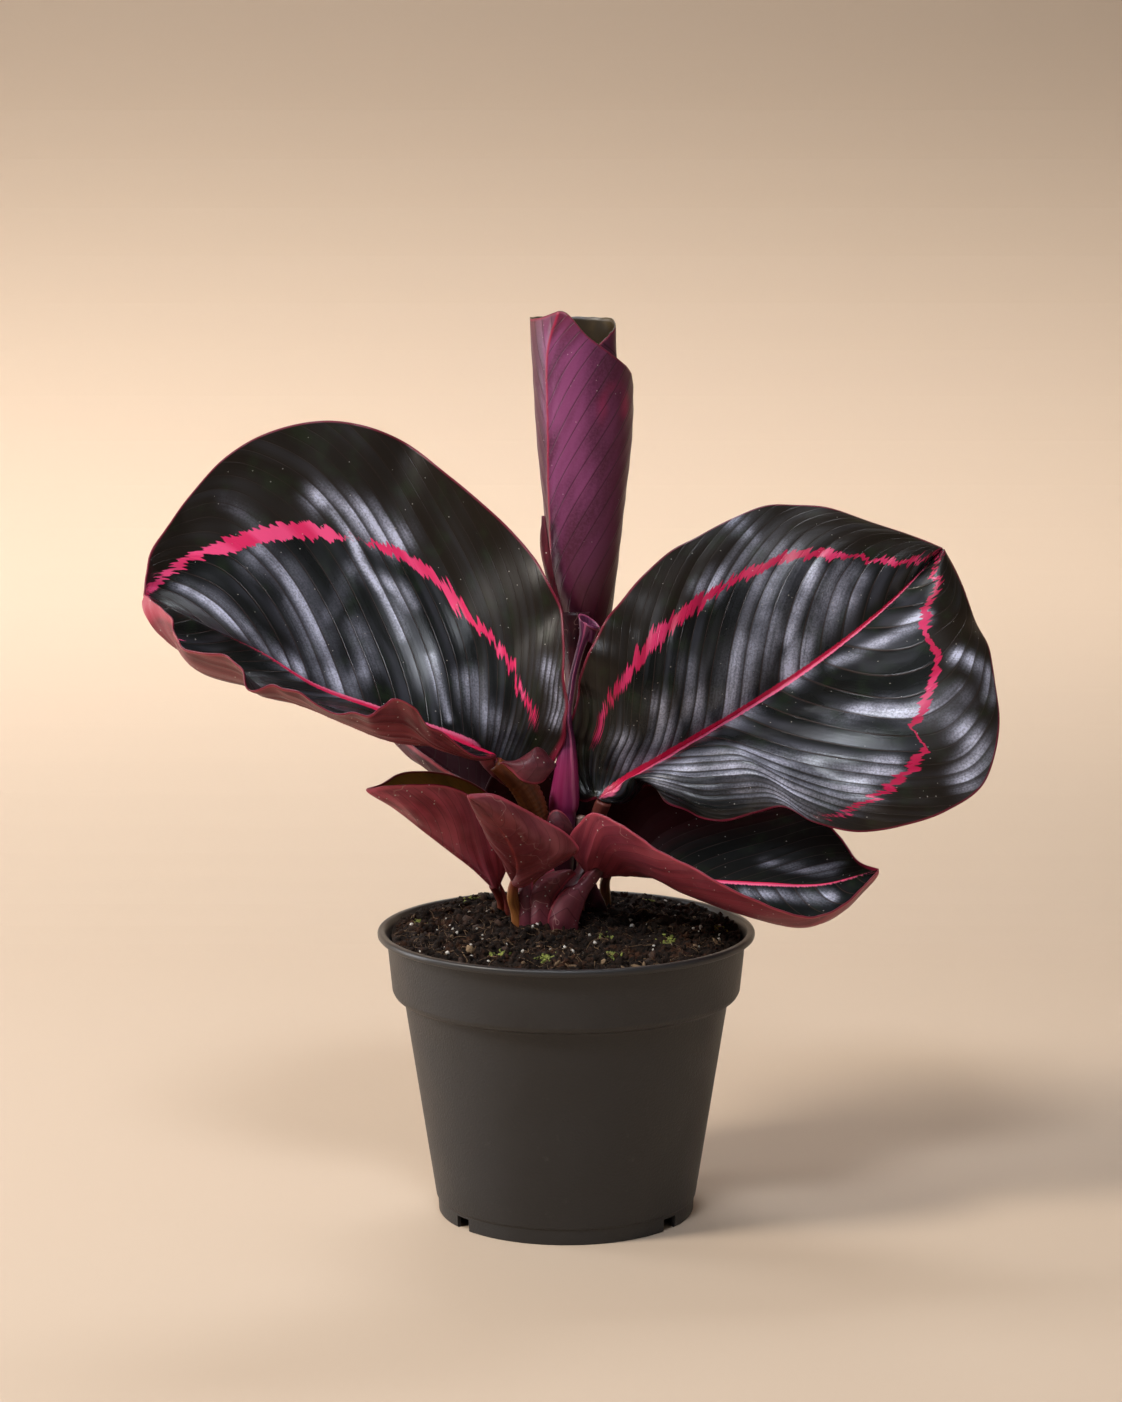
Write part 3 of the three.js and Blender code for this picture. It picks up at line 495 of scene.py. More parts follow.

# a top's sheen share sets how strong its painted sheen on the pleat flanks is
leaves = {
    "leftLeaf": {
        "node": "left_leaf", "slot": "upper_blade", "base": (-22, -4, 148), "tip": (-129, -24, 201),
        "faces": (0, -0.36, 0.93), "rib": [[0, -1], [0, -2.6], [0, -4.3], [0, -1.4], [2, 0]], "sweep": 1.45,
        "ribDepth": 2.4,
        "left": {"cup": (0, -8, -3, -10, -18), "lean": 0.6, "bend": 1.0, "margin": [[8.6, 13.8, 4.7],
            [27.4, 26.7, 14.4], [40.3, 32.7, 21.4], [47.6, 38.8, 18.2], [58.1, 41.4, 14.4],
            [72.7, 40.1, 11.8], [84.2, 37.1, 9], [94.5, 30.2, 8.5], [106.4, 23.6, 2], [112.4, 14.1, 3.6],
            [118.5, 4, 1.5]]},
        "right": {"cup": (-11, -8), "lean": 0.6, "bend": 1.0, "margin": [[-16, -5, -7], [-19, -6, 1],
            [-16, -4, 14], [-11, -9, 27], [-3, -20, 40], [8, -32, 48], [25, -47, 52], [46, -58, 54],
            [67, -65, 55], [86, -67, 50], [102, -61, 41], [113, -52, 29], [120, -36, 14], [123, -17, 4]]},
        "ring": {"left": [[0.0, 0.62], [1.0, 0.62]], "right": [[0.2, 0.74], [0.25, 0.71], [0.29, 0.65],
            [0.36, 0.63], [0.43, 0.61], [0.49, 0.655], [0.55, 0.65], [0.6, 0.61], [0.64, 0.6], [0.7, 0.59],
            [0.78, 0.56], [0.86, 0.63], [0.96, 0.67]]},
        "ringWidth": {"left": [[0.2, 0.0], [0.4, 1.6], [0.8, 1.6], [0.95, 0.0]], "right": [[0.19, 0.0],
            [0.24, 0.7], [0.4, 1.1], [0.5, 1.9], [0.57, 1.6], [0.595, 0.2], [0.62, 0.3], [0.64, 2.5],
            [0.72, 3.0], [0.8, 2.5], [0.86, 1.5], [0.97, 1.1]]},
        "ribWidth": [0.9, 1.4, 1.5, 1.4, 1.1, 0.4, 0.0, 0.0], "ribRise": 0.4,
        # streaks of painted highlight: reach in mm, power, and points along and across the blade
        "paintedSheen": [(4.2, 0.7, [(0.663, -0.71), (0.622, -0.71), (0.587, -0.68), (0.558, -0.68)]), (1.5, 0.95,
            [(0.644, -0.68), (0.612, -0.61), (0.592, -0.54), (0.553, -0.48), (0.521, -0.43),
            (0.494, -0.36)]), (5.5, 0.5, [(0.742, -0.48), (0.7, -0.4), (0.666, -0.29), (0.634, -0.2),
            (0.607, -0.1), (0.56, -0.06)]), (3.3, 0.6, [(0.879, -0.42), (0.835, -0.25), (0.791, -0.11),
            (0.737, -0.04), (0.668, -0.03)]), (2.7, 0.6, [(0.602, -0.49), (0.612, -0.35), (0.634, -0.23)]),
            (3.9, 0.6, [(0.572, -0.3), (0.538, -0.2), (0.543, -0.09)]), (2.4, 0.5, [(0.58, -0.5),
            (0.533, -0.52), (0.509, -0.49)]), (3.6, 0.6, [(0.351, -0.39), (0.297, -0.34), (0.206, -0.42),
            (0.175, -0.45)]), (3.0, 0.5, [(0.302, -0.86), (0.265, -0.93), (0.226, -0.91)]), (1.2, 0.7,
            [(0.437, -0.35), (0.376, -0.23), (0.302, -0.12)]), (2.4, 0.4, [(0.801, -0.8), (0.762, -0.68),
            (0.742, -0.59)])], "rows": 228, "columns": 106, "pleat": 0.42, "swell": 1.1, "ruffle": 3.2,
        "top": {"veins": 22, "seed": 3.0, "jagSlow": 5.0, "jagQuick": 5.0, "paintedSheen": 0.75, "roughness": 0.3,
            "tones": {"ring": (0.74, 0.022, 0.125), "ringPale": (0.9, 0.08, 0.24),
            "rib": (0.62, 0.012, 0.075)}}, "under": {**maroon, "veins": 22, "seed": 3.0},
    },
    "rightLeaf": {
        "node": "right_leaf", "slot": "upper_blade", "base": (10, 2, 133), "tip": (123, 40, 209),
        "faces": (-0.07, -0.84, 0.53), "rib": [[-2, -1], [-4, -2], [-5, -3], [-4, -2]], "sweep": 1.4,
        "ribDepth": 2.4,
        "left": {"cup": (5, 7), "lean": 0.6, "bend": 1.05, "margin": [[-4, 5, -5], [-3, 15, -4],
            [1, 21, 3], [9, 24, 12], [16, 29, 20], [26, 34, 25], [40, 40, 25], [62, 47, 19], [84, 48, 13],
            [106, 43, 9], [122, 29, 6], [133, 13, 3]]},
        "right": {"cup": (8, 9), "lean": 0.5, "bend": 1.8, "margin": [[9, -3, -8], [16, -6, -1],
            [16, -15, 4], [19, -25, 7], [24, -33, 8], [34, -38, 9], [42, -42, 10], [47, -51, 7],
            [57, -62, 5], [69, -69, 6], [83, -73, 5], [99, -72, 3], [116, -58, 2], [129, -38, -1],
            [135, -24, -4], [139, -11, -2]]},
        "ring": {"left": [[0.25, 0.66], [0.32, 0.75], [0.46, 0.73], [0.54, 0.72], [0.61, 0.67],
            [0.69, 0.65], [0.75, 0.61], [0.79, 0.57], [0.85, 0.48], [0.92, 0.36], [0.97, 0.25]],
            "right": [[0.48, 0.96], [0.55, 0.86], [0.63, 0.78], [0.685, 0.71], [0.688, 0.59], [0.74, 0.58],
            [0.77, 0.59], [0.8, 0.56], [0.82, 0.43], [0.87, 0.43], [0.92, 0.45], [0.965, 0.25]]},
        "ringWidth": {"left": [[0.22, 0.0], [0.27, 0.7], [0.36, 0.8], [0.45, 1.6], [0.55, 2.1],
            [0.62, 2.0], [0.64, 1.1], [0.7, 1.8], [0.8, 1.7], [0.83, 0.9], [0.9, 1.2], [0.97, 0.5]],
            "right": [[0.46, 0.0], [0.52, 0.6], [0.6, 1.3], [0.66, 1.7], [0.72, 1.3], [0.8, 1.5],
            [0.9, 1.0], [0.97, 0.4]]}, "ribWidth": [0.4, 1.5, 2.1, 2.2, 1.8, 1.4, 1.1, 0.7, 0.1],
        "ribRise": 0.45,
        # streaks of painted highlight: reach in mm, power, and points along and across the blade
        "paintedSheen": [(6.7, 0.6, [(0.732, 0.57), (0.693, 0.46), (0.629, 0.31), (0.572, 0.23), (0.511, 0.1)]),
            (4.2, 0.8, [(0.816, 0.35), (0.766, 0.23), (0.71, 0.14), (0.646, 0.04)]), (3.3, 0.6,
            [(0.764, 0.47), (0.72, 0.32), (0.668, 0.23)]), (3.9, 0.6, [(0.514, 0.45), (0.472, 0.3),
            (0.42, 0.04)]), (3.9, 0.6, [(0.418, 0.43), (0.356, 0.22), (0.256, 0.06)]), (6.1, 0.6,
            [(0.246, -0.48), (0.327, -0.45), (0.398, -0.68), (0.491, -0.76), (0.563, -0.74)]), (3.6, 0.6,
            [(0.44, -0.44), (0.511, -0.53), (0.577, -0.67), (0.626, -0.71)]), (3.6, 0.5, [(0.617, -0.35),
            (0.683, -0.43), (0.703, -0.54), (0.737, -0.67), (0.759, -0.75)]), (2.7, 0.8, [(0.798, -0.72),
            (0.798, -0.91), (0.779, -0.94)]), (2.1, 0.9, [(0.708, -0.07), (0.762, -0.17), (0.808, -0.28),
            (0.845, -0.42)]), (4.2, 0.5, [(0.732, -0.74), (0.725, -0.9), (0.693, -0.92)]), (3.3, 0.4,
            [(0.288, 0.44), (0.231, 0.22)]), (3.9, 0.4, [(0.717, 0.98), (0.712, 0.8), (0.666, 0.71),
            (0.624, 0.7)])], "rows": 228, "columns": 106, "pleat": 0.44, "swell": 1.1, "ruffle": 2.2,
        "top": {"veins": 20, "seed": 11.0, "jagSlow": 5.0, "jagQuick": 5.0, "paintedSheen": 0.8,
            "roughness": 0.28, "tones": {"ring": (0.44, 0.01, 0.064), "ringPale": (0.6, 0.032, 0.13)}},
        "under": {**maroon, "veins": 20, "seed": 12.0},
    },
    "lowerLeftLeaf": {
        "node": "lower_left_leaf", "slot": "under_blade", "base": (-22, 8, 103), "tip": (-62, -15, 139),
        "faces": (0.51, 0, 0.86), "rib": [[0, 1], [0, 1], [0, 1], [0, 1]], "sweep": 1.2, "ribDepth": 1.0,
        "left": {"cup": (-3, -3), "lean": 0.5, "bend": 1.2, "margin": [[8, 9, 8], [16, 12, 12],
            [26, 12, 16], [35, 12, 19], [44, 11, 17], [52, 9, 11], [57, 5, 5]]},
        "right": {"cup": (-3, -3), "lean": 0.5, "bend": 1.2, "margin": [[1, -6, 12], [7, -10, 19],
            [17, -12, 21], [28, -12, 20], [38, -12, 16], [48, -9, 10], [54, -3, 4]]},
        "ribWidth": [0.9, 0.6, 0.3], "ribRise": 0.2, "rows": 130, "columns": 60, "pleat": 0.16,
        "swell": 0.35, "ruffle": 0.3,
        "top": {"veins": 12, "seed": 21.0, "jagSlow": 3.0, "jagQuick": 2.0, "paintedSheen": 0.2,
            "roughness": 0.38, "tones": {"outer": (0.25, 0.165, 0.022), "inner": (0.19, 0.12, 0.02)}},
        "under": {"dark": (0.165, 0.02, 0.034), "light": (0.37, 0.054, 0.086), "cool": (0.24, 0.036, 0.08),
            "vein": (0.04, 0.006, 0.012), "rib": (0.25, 0.03, 0.03), "veins": 12, "seed": 22.0},
    },
    "lowerCentreLeaf": {
        "node": "lower_centre_leaf", "slot": "under_blade", "base": (-16, -8, 108), "tip": (-30, -30, 140),
        "faces": (0.21, 0.88, 0.42), "rib": [[4, -1], [6, -2], [6, -2], [4, -1]], "sweep": 1.1,
        "ribDepth": 1.0,
        "left": {"cup": (-3, -3), "lean": 0.5, "bend": 1.2, "margin": [[0, 3, -2], [3, 11, 0], [5, 18, 2],
            [7, 23, 4], [14, 21, 5], [23, 16, 4], [32, 12, 2], [39, 7, 1]]},
        "right": {"cup": (-2, -2), "lean": 0.5, "bend": 1.2, "margin": [[4, -1, 1], [11, -1, 2],
            [19, -2, 2], [27, -2, 2], [36, -1, 1]]}, "ribWidth": [1.2, 0.9, 0.5, 0.3], "ribRise": 0.2,
        "rows": 130, "columns": 60, "pleat": 0.18, "swell": 0.5, "ruffle": 0.3,
        "top": {"veins": 10, "seed": 31.0, "jagSlow": 3.0, "jagQuick": 2.0, "paintedSheen": 0.3,
            "roughness": 0.38},
        "under": {"dark": (0.12, 0.018, 0.022), "light": (0.23, 0.05, 0.058), "cool": (0.15, 0.026, 0.05),
            "vein": (0.07, 0.008, 0.014), "rib": (0.34, 0.05, 0.05), "veins": 10, "seed": 32.0},
    },
    "lowerRightLeaf": {
        "node": "lower_right_leaf", "slot": "under_blade", "base": (12, 6, 110), "tip": (98, -12, 113),
        "faces": (0, -0.15, 0.99), "rib": [[0, -2], [0, -4], [0, -5], [0, -5]], "sweep": 1.3,
        "ribDepth": 1.6,
        "left": {"cup": (-6, -6), "lean": 0.55, "bend": 1.1, "margin": [[0, 8, 1], [-2, 15, 6],
            [-2, 22, 13], [4, 29, 18], [14, 35, 16], [30, 41, 12], [50, 43, 8], [64, 36, 6], [73, 25, 2],
            [80, 11, -1]]},
        "right": {"cup": (-9, -9), "lean": 0.55, "bend": 1.1, "margin": [[-6, -11, 7], [-7, -15, 15],
            [-3, -18, 21], [3, -22, 26], [13, -28, 24], [24, -33, 18], [36, -36, 13], [48, -38, 7],
            [62, -37, 0], [71, -32, -4], [79, -21, -4], [84, -10, -2]]},
        "ribWidth": [0.9, 1.0, 1.0, 1.1, 1.0, 0.5, 0.1], "ribRise": 0.4,
        # streaks of painted highlight: reach in mm, power, and points along and across the blade
        "paintedSheen": [(2.7, 0.7, [(0.646, 0.39), (0.747, 0.38), (0.835, 0.6)]), (2.1, 0.6, [(0.607, -0.1),
            (0.737, -0.1), (0.852, -0.18)])], "rows": 200, "columns": 90, "pleat": 0.28, "swell": 0.7,
        "ruffle": 0.5,
        "top": {"veins": 16, "seed": 41.0, "jagSlow": 5.0, "jagQuick": 4.0, "paintedSheen": 0.15,
            "roughness": 0.6, "shine": 0.03, "gloss": 0.1, "foot": 0.8,
            # painted shade: the outer tone is half that of the other leaves, for the shade under the right
            # leaf
            "tones": {"outer": (0.005, 0.0032, 0.0022), "foot": (0.04, 0.005, 0.008)}},
        "under": {"dark": (0.135, 0.016, 0.028), "light": (0.31, 0.048, 0.068),
            "cool": (0.21, 0.034, 0.062), "vein": (0.07, 0.01, 0.018), "rib": (0.26, 0.03, 0.05),
            "veins": 16, "seed": 42.0},
    },
    "backLeaf": {
        "node": "back_leaf", "slot": "under_blade", "base": (-25, 24, 130), "tip": (-72, 60, 166),
        "faces": (0.46, 0.2, 0.87), "rib": [[0, -2], [0, -3], [0, -3], [0, -2]], "sweep": 1.2,
        "ribDepth": 1.0,
        "left": {"cup": (-4, -4), "lean": 0.5, "bend": 1.2, "margin": [[4, 8, 0], [12, 9, -2], [21, 9, -3],
            [32, 7, -4], [47, 5, -4], [61, 2, -3]]},
        "right": {"cup": (-4, -4), "lean": 0.5, "bend": 1.2, "margin": [[6, -8, 7], [14, -11, 14],
            [28, -12, 17], [41, -11, 17], [56, -7, 14], [66, -2, 7]]}, "ribWidth": [0.0, 0.0],
        "ribRise": 0.2, "rows": 130, "columns": 50, "pleat": 0.16, "swell": 0.4, "ruffle": 0.3,
        "top": {"veins": 12, "seed": 51.0, "jagSlow": 3.0, "jagQuick": 2.0, "paintedSheen": 0.0, "roughness": 0.6,
            "shine": 0.03, "tones": {"outer": (0.028, 0.005, 0.009), "inner": (0.034, 0.006, 0.011),
            "green": (0.022, 0.005, 0.008)}},
        "under": {"dark": (0.028, 0.005, 0.009), "light": (0.07, 0.012, 0.022),
            "cool": (0.042, 0.009, 0.018), "vein": (0.02, 0.004, 0.008), "rib": (0.1, 0.01, 0.02),
            "veins": 12, "seed": 52.0},
    },
    "centreBract": {
        "node": "centre_bract", "slot": "bract", "base": (-5, 0.5, 89), "tip": (-4.5, 1.8, 110.5),
        "faces": (0, 0.98, 0.2), "rib": [[0, 0], [0, 0]], "sweep": 1.0, "ribDepth": 0.3,
        "left": {"cup": (-1.5, -1), "lean": 0.5, "bend": 1.4, "margin": [[3, 4, 0.3], [8, 6, 0.8],
            [12, 4.8, 1.2], [16, 3, 1]]},
        "right": {"cup": (-1.5, -1), "lean": 0.5, "bend": 1.4, "margin": [[3, -2.5, 0], [8, -4, 0],
            [13, -4.5, -0.3], [18, -3, 0]]}, "ribWidth": [0.3, 0.2], "ribRise": 0.0, "rows": 70,
        "columns": 30, "pleat": 0.12, "swell": 0.3, "ruffle": 0.15,
        "top": {"veins": 6, "seed": 61.0, "jagSlow": 1.0, "jagQuick": 1.0, "paintedSheen": 0.2, "roughness": 0.4},
        "under": {"dark": (0.045, 0.007, 0.013), "light": (0.11, 0.016, 0.03),
            "cool": (0.065, 0.01, 0.022), "vein": (0.025, 0.004, 0.008), "rib": (0.12, 0.012, 0.02),
            "veins": 6, "seed": 62.0},
    },
    "leftBract": {
        "node": "left_bract", "slot": "bract", "base": (-13.5, 1, 89), "tip": (-14.5, 2, 107.5),
        "faces": (0, 0.98, 0.2), "rib": [[0, 0], [0, 0]], "sweep": 1.0, "ribDepth": 0.3,
        "left": {"cup": (-1.2, -0.8), "lean": 0.5, "bend": 1.4, "margin": [[4, 2.3, 0], [9, 2.5, 0.3],
            [13, 2, 0]]},
        "right": {"cup": (-1.2, -0.8), "lean": 0.5, "bend": 1.4, "margin": [[5, -2, 0], [9, -2, -0.5],
            [13, -1, -0.5]]}, "ribWidth": [0.3, 0.2], "ribRise": 0.0, "rows": 60, "columns": 24,
        "pleat": 0.1, "swell": 0.2, "ruffle": 0.1,
        "top": {"veins": 5, "seed": 71.0, "jagSlow": 1.0, "jagQuick": 1.0, "paintedSheen": 0.2, "roughness": 0.4},
        "under": {"dark": (0.07, 0.01, 0.016), "light": (0.15, 0.022, 0.034), "cool": (0.09, 0.014, 0.026),
            "vein": (0.035, 0.005, 0.01), "rib": (0.16, 0.02, 0.03), "veins": 5, "seed": 72.0},
    },
}


def leafSurface(leaf, along, share):
    # point = rib + (margin - rib) |share|, moved square to that line by
    # cup 4 |share| (1 - |share|) sqrt(sin(pi along)). The rib lies at along^sweep of the chord, and vein
    # solves vein = along - lean (1 - vein)^0.65 |share|^bend
    base = np.array(leaf["base"], float)
    forward = np.array(leaf["tip"], float) - base
    length = np.linalg.norm(forward)
    forward /= length
    up = np.array(leaf["faces"], float)
    up = unit(up - forward * (up @ forward))
    leftward = np.cross(up, forward)
    along, share = np.broadcast_arrays(along, share)
    width = np.abs(share)
    reach = along ** leaf["sweep"]
    ribOff = curveThrough([[0, 0], *leaf["rib"], [0, 0]], reach)
    rib = np.stack([length * reach, ribOff[..., 0], ribOff[..., 1]], -1)
    local = np.zeros(along.shape + (3,))
    span = np.zeros(along.shape)
    vein = np.zeros(along.shape)
    for side, sign in (("right", -1), ("left", 1)):
        half = leaf[side]
        margin = curveThrough([[0, 0, 0], *half["margin"], [length, 0, 0]], along)
        across, rise = margin[..., 1] - rib[..., 1], margin[..., 2] - rib[..., 2]
        spanHere = np.hypot(across, rise) + 1e-6
        cup = curveThrough([[depth] for depth in half["cup"]], along)[..., 0] * 4 * width * (1 - width)
        cup = cup * np.sqrt(np.sin(np.pi * along))
        points = rib + (margin - rib) * width[..., None]
        points[..., 1] -= sign * cup * rise / spanHere
        points[..., 2] += sign * cup * across / spanHere
        veinHere = along.copy()
        for _ in range(6):
            veinHere = along - half["lean"] * np.clip(1 - veinHere, 0, 2) ** 0.65 * width ** half["bend"]
        use = share * sign >= 0
        local = np.where(use[..., None], points, local)
        span = np.where(use, spanHere, span)
        vein = np.where(use, veinHere, vein)
    world = base + local[..., :1] * forward + local[..., 1:2] * leftward + local[..., 2:] * up
    return world, span, vein


def sideTable(leaf, key, along, share):
    # piecewise straight table of the leaf's own half, read at along
    out = np.zeros(along.shape)
    for side, use in (("right", share < 0), ("left", share >= 0)):
        table = np.array(leaf[key][side])
        left = 0 if key == "ringWidth" else None
        out = np.where(use, np.interp(along, table[:, 0], table[:, 1], left=left), out)
    return out


def paintedSheenField(leaf, points):
    # strongest of power exp(-(d/reach)^2) over the streaks of painted highlight, d being the distance to a
    # streak's line
    field = np.zeros(points.shape[:2])
    for reach, power, way in leaf.get("paintedSheen", []):
        line = leafSurface(leaf, *np.array(way).T)[0]
        line = curveThrough(line, np.linspace(0, 1, 8 * len(way)))
        gap = np.full(field.shape, 1e9)
        for spot in line:
            gap = np.minimum(gap, np.linalg.norm(points - spot, axis=-1))
        field = np.maximum(field, power * np.exp(-(gap / reach) ** 2))
    return field


def leafBlade(name, leaf):
    # top = surface + normal (pleats that follow the veins + slow swells + ruffles growing as share^3 to the
    # margin + a midrib exp(-(gap / half width)^2)), and the underside one thickness below it
    rows, columns = leaf["rows"], leaf["columns"]
    first, last = bladeLook["first"], bladeLook["last"]
    along = first + (last - first) * np.linspace(0, 1, rows)[:, None]
    share = np.linspace(-1, 1, 2 * columns + 1)[None, :]
    along, share = np.broadcast_arrays(along, share)
    points, span, vein = leafSurface(leaf, along, share)
    normals = gridNormals(points)
    width = np.abs(share)
    ends = np.sqrt(np.sin(np.pi * along))
    broad = np.minimum(1, span / bladeLook["ribClear"])
    ribGap = share * span
    ribWidth = curveThrough([[w] for w in leaf["ribWidth"]], along)[..., 0] * broad
    ribHalf = 0.5 + leaf["ribDepth"] * 0.7
    inside = np.sin(np.pi * np.clip(width, 0, 1)) ** 0.6 * ends
    seed = int(leaf["top"]["seed"])
    folds = vein * leaf["top"]["veins"] / 2
    pleats = (np.abs(np.sin(np.pi * folds)) ** 0.75 - 0.6) * (1 + lumps(folds, width * 1.3, 1.0, seed + 2))
    relief = leaf["pleat"] * inside * pleats * broad
    slow = 0.6 * waves(vein * 11, width * 5, seed) + lumps(vein * 8, width * 2.2, 1.0, seed + 3)
    relief += leaf["swell"] * inside * slow * broad
    frill = waves(along * 34, width * 2, seed + 1) + 0.8 * width**4 * waves(along * 95, width * 5, seed + 4)
    relief += leaf["ruffle"] * width**3 * frill * ends * broad
    ribShape = np.exp(-(ribGap / (0.55 * ribHalf)) ** 2)
    top = points + normals * (relief + leaf["ribRise"] * (1 - 0.7 * along) * ribShape * broad)[..., None]
    thick = leaf["ribDepth"] * (1 - 0.75 * along) * np.exp(-(ribGap / ribHalf) ** 2) * broad
    thick = bladeLook["thick"] + thick
    under = points + normals * (relief - thick)[..., None]
    rims = []
    for edge, inner in ((-1, -2), (0, 1)):
        outward = unit(points[:, edge] - points[:, inner], 1e-9)
        rims.append((top[:, edge] + under[:, edge]) / 2 + outward * 0.3 * bladeLook["thick"])
    fields = {"vein": vein, "reach": width, "ribGap": ribGap, "ribWidth": ribWidth,
              "edgeGap": (1 - width) * span}
    if "ring" in leaf:
        fields["ringGap"] = (width - sideTable(leaf, "ring", along, share)) * span
        fields["ringWidth"] = sideTable(leaf, "ringWidth", along, share)
    else:
        fields["ringGap"] = (width - bladeLook["zoneShare"]) * span
        fields["ringWidth"] = -9.0
    # strength of the painted highlights at each point
    fields["paintedSheen"] = paintedSheenField(leaf, points)
    materials = [upperFace(name + "Top", leaf["top"]), underFace(name + "Under", leaf["under"]), bladeRim]
    joinPiece(sheetPiece(name, top, under, rims, materials, fields, 2), leaf["slot"], leaf["node"])


bladeRim = rimFace("bladeRim", leafTones["edge"])
for leafName, leafValues in leaves.items():
    leafBlade(leafName, leafValues)
print("stage: leaf blades made,", len(leaves))


# Stalks and the young spear

stalks = {
    "leftStalk": {
        "node": "left_stalk",
        "path": [[-9.5, 6, 84], [-9.5, 5, 105], [-9.5, 3, 121], [-10, 2, 129], [-14, -1, 138],
            [-22.5, -5, 145.5]], "radii": [[2.6, 2.6], [2.6, 2.6], [3, 3], [4.1, 4.1], [4, 4], [2.4, 2.4]],
        "tones": [(0.12, 0.02, 0.012), (0.2, 0.055, 0.018), (0.29, 0.092, 0.03), (0.17, 0.042, 0.014)],
        "wrinkles": (0.55, 0.86, 0.26),
    },
    "rightStalk": {
        "node": "right_stalk",
        "path": [[-1.5, -5, 84], [-1, -5, 94], [0.5, -3.5, 99], [3.5, 0.5, 105], [6.5, 5, 112],
            [8.5, 6.5, 122], [12, 3.5, 132]],
        "radii": [[4.6, 2.4], [4.8, 2.4], [4.6, 2.4], [3.6, 2.4], [2.3, 2.3], [2.3, 2.3], [2.6, 2.6]],
        "tones": [(0.06, 0.008, 0.014), (0.08, 0.012, 0.02), (0.1, 0.02, 0.024), (0.16, 0.04, 0.03)],
    },
    "lowerLeftStalk": {
        "node": "lower_left_stalk",
        "path": [[-20.5, 17, 84], [-20.5, 16, 95], [-21.5, 11, 100], [-23.5, 6.5, 104]],
        "radii": [[1.9, 1.9], [1.7, 1.7], [1.6, 1.6], [1.3, 1.3]],
        "tones": [(0.34, 0.11, 0.045), (0.36, 0.085, 0.045), (0.28, 0.045, 0.035), (0.2, 0.02, 0.03)],
    },
    "lowerCentreStalk": {
        "node": "lower_centre_stalk",
        "path": [[-15, -3, 84], [-15.5, -3, 96], [-17, -5.5, 103], [-16, -9, 110]],
        "radii": [[2.2, 2.2], [2, 2], [1.8, 1.8], [1.2, 1.2]],
        "tones": [(0.3, 0.05, 0.035), (0.42, 0.16, 0.045), (0.36, 0.15, 0.045), (0.3, 0.05, 0.04)],
    },
    "lowerRightStalk": {
        "node": "lower_right_stalk",
        "path": [[13, 22, 84], [13, 21, 95], [12.5, 14, 103], [13.5, 5, 108.5]],
        "radii": [[1.8, 1.8], [1.7, 1.7], [1.6, 1.6], [1.4, 1.4]],
        "tones": [(0.2, 0.1, 0.04), (0.24, 0.13, 0.05), (0.24, 0.1, 0.045), (0.18, 0.03, 0.03)],
    },
    "backStalk": {
        "node": "back_stalk",
        "path": [[-8, 18, 84], [-9, 20, 97], [-13, 23, 112], [-20, 23, 125], [-28, 26, 131]],
        "radii": [[1.8, 1.8], [1.8, 1.8], [1.7, 1.7], [1.6, 1.6], [1.2, 1.2]],
        "tones": [(0.1, 0.02, 0.022), (0.09, 0.015, 0.02), (0.07, 0.012, 0.018), (0.05, 0.01, 0.015)],
    },
    "cutStub": {
        "node": "cut_stub", "path": [[4.5, 11, 84], [4.5, 11, 100], [4.5, 10, 112], [4.5, 6.5, 126.5]],
        "radii": [[1.5, 1.5], [1.4, 1.4], [1.3, 1.3], [1.35, 1.35]],
        "tones": [(0.26, 0.1, 0.07), (0.32, 0.15, 0.1), (0.48, 0.28, 0.2), (0.62, 0.42, 0.34)],
    },
    "secondStrand": {
        "node": None,
        "path": [[-19.2, 11.5, 84], [-19.0, 11.2, 94], [-19.8, 9.0, 100], [-21.2, 6.4, 104.5]],
        "radii": [[0.8, 0.8], [0.7, 0.7], [0.6, 0.6], [0.4, 0.4]],
        "tones": [(0.3, 0.07, 0.04), (0.34, 0.06, 0.045), (0.28, 0.04, 0.04), (0.2, 0.02, 0.03)],
    },
}
stalkLook = {"rows": 90, "sides": 32, "groove": 0.04}


def pathFrames(path, places):
    # centre of the path at each place, and two directions square to it
    centres = curveThrough(path, places)
    tangents = unit(np.gradient(centres, axis=0))
    sides = unit(np.array([1.0, 0, 0]) - tangents * tangents[:, :1])
    return centres, sides, np.cross(tangents, sides)


def sweptRings(path, radii, rows, sides, relief=None):
    # ring = centre + side (width + relief) cos(angle) + back (depth + relief) sin(angle)
    places = np.linspace(0, 1, rows)
    centres, side, back = pathFrames(path, places)
    sizes = curveThrough(radii, places)
    angle = -np.linspace(0, 2 * np.pi, sides, endpoint=False)[None, :]
    extra = np.zeros((rows, sides)) if relief is None else relief(places[:, None], angle)
    wide = (sizes[:, :1] + extra) * np.cos(angle)
    deep = (sizes[:, 1:] + extra) * np.sin(angle)
    rings = centres[:, None] + side[:, None] * wide[..., None] + back[:, None] * deep[..., None]
    return rings, places, angle


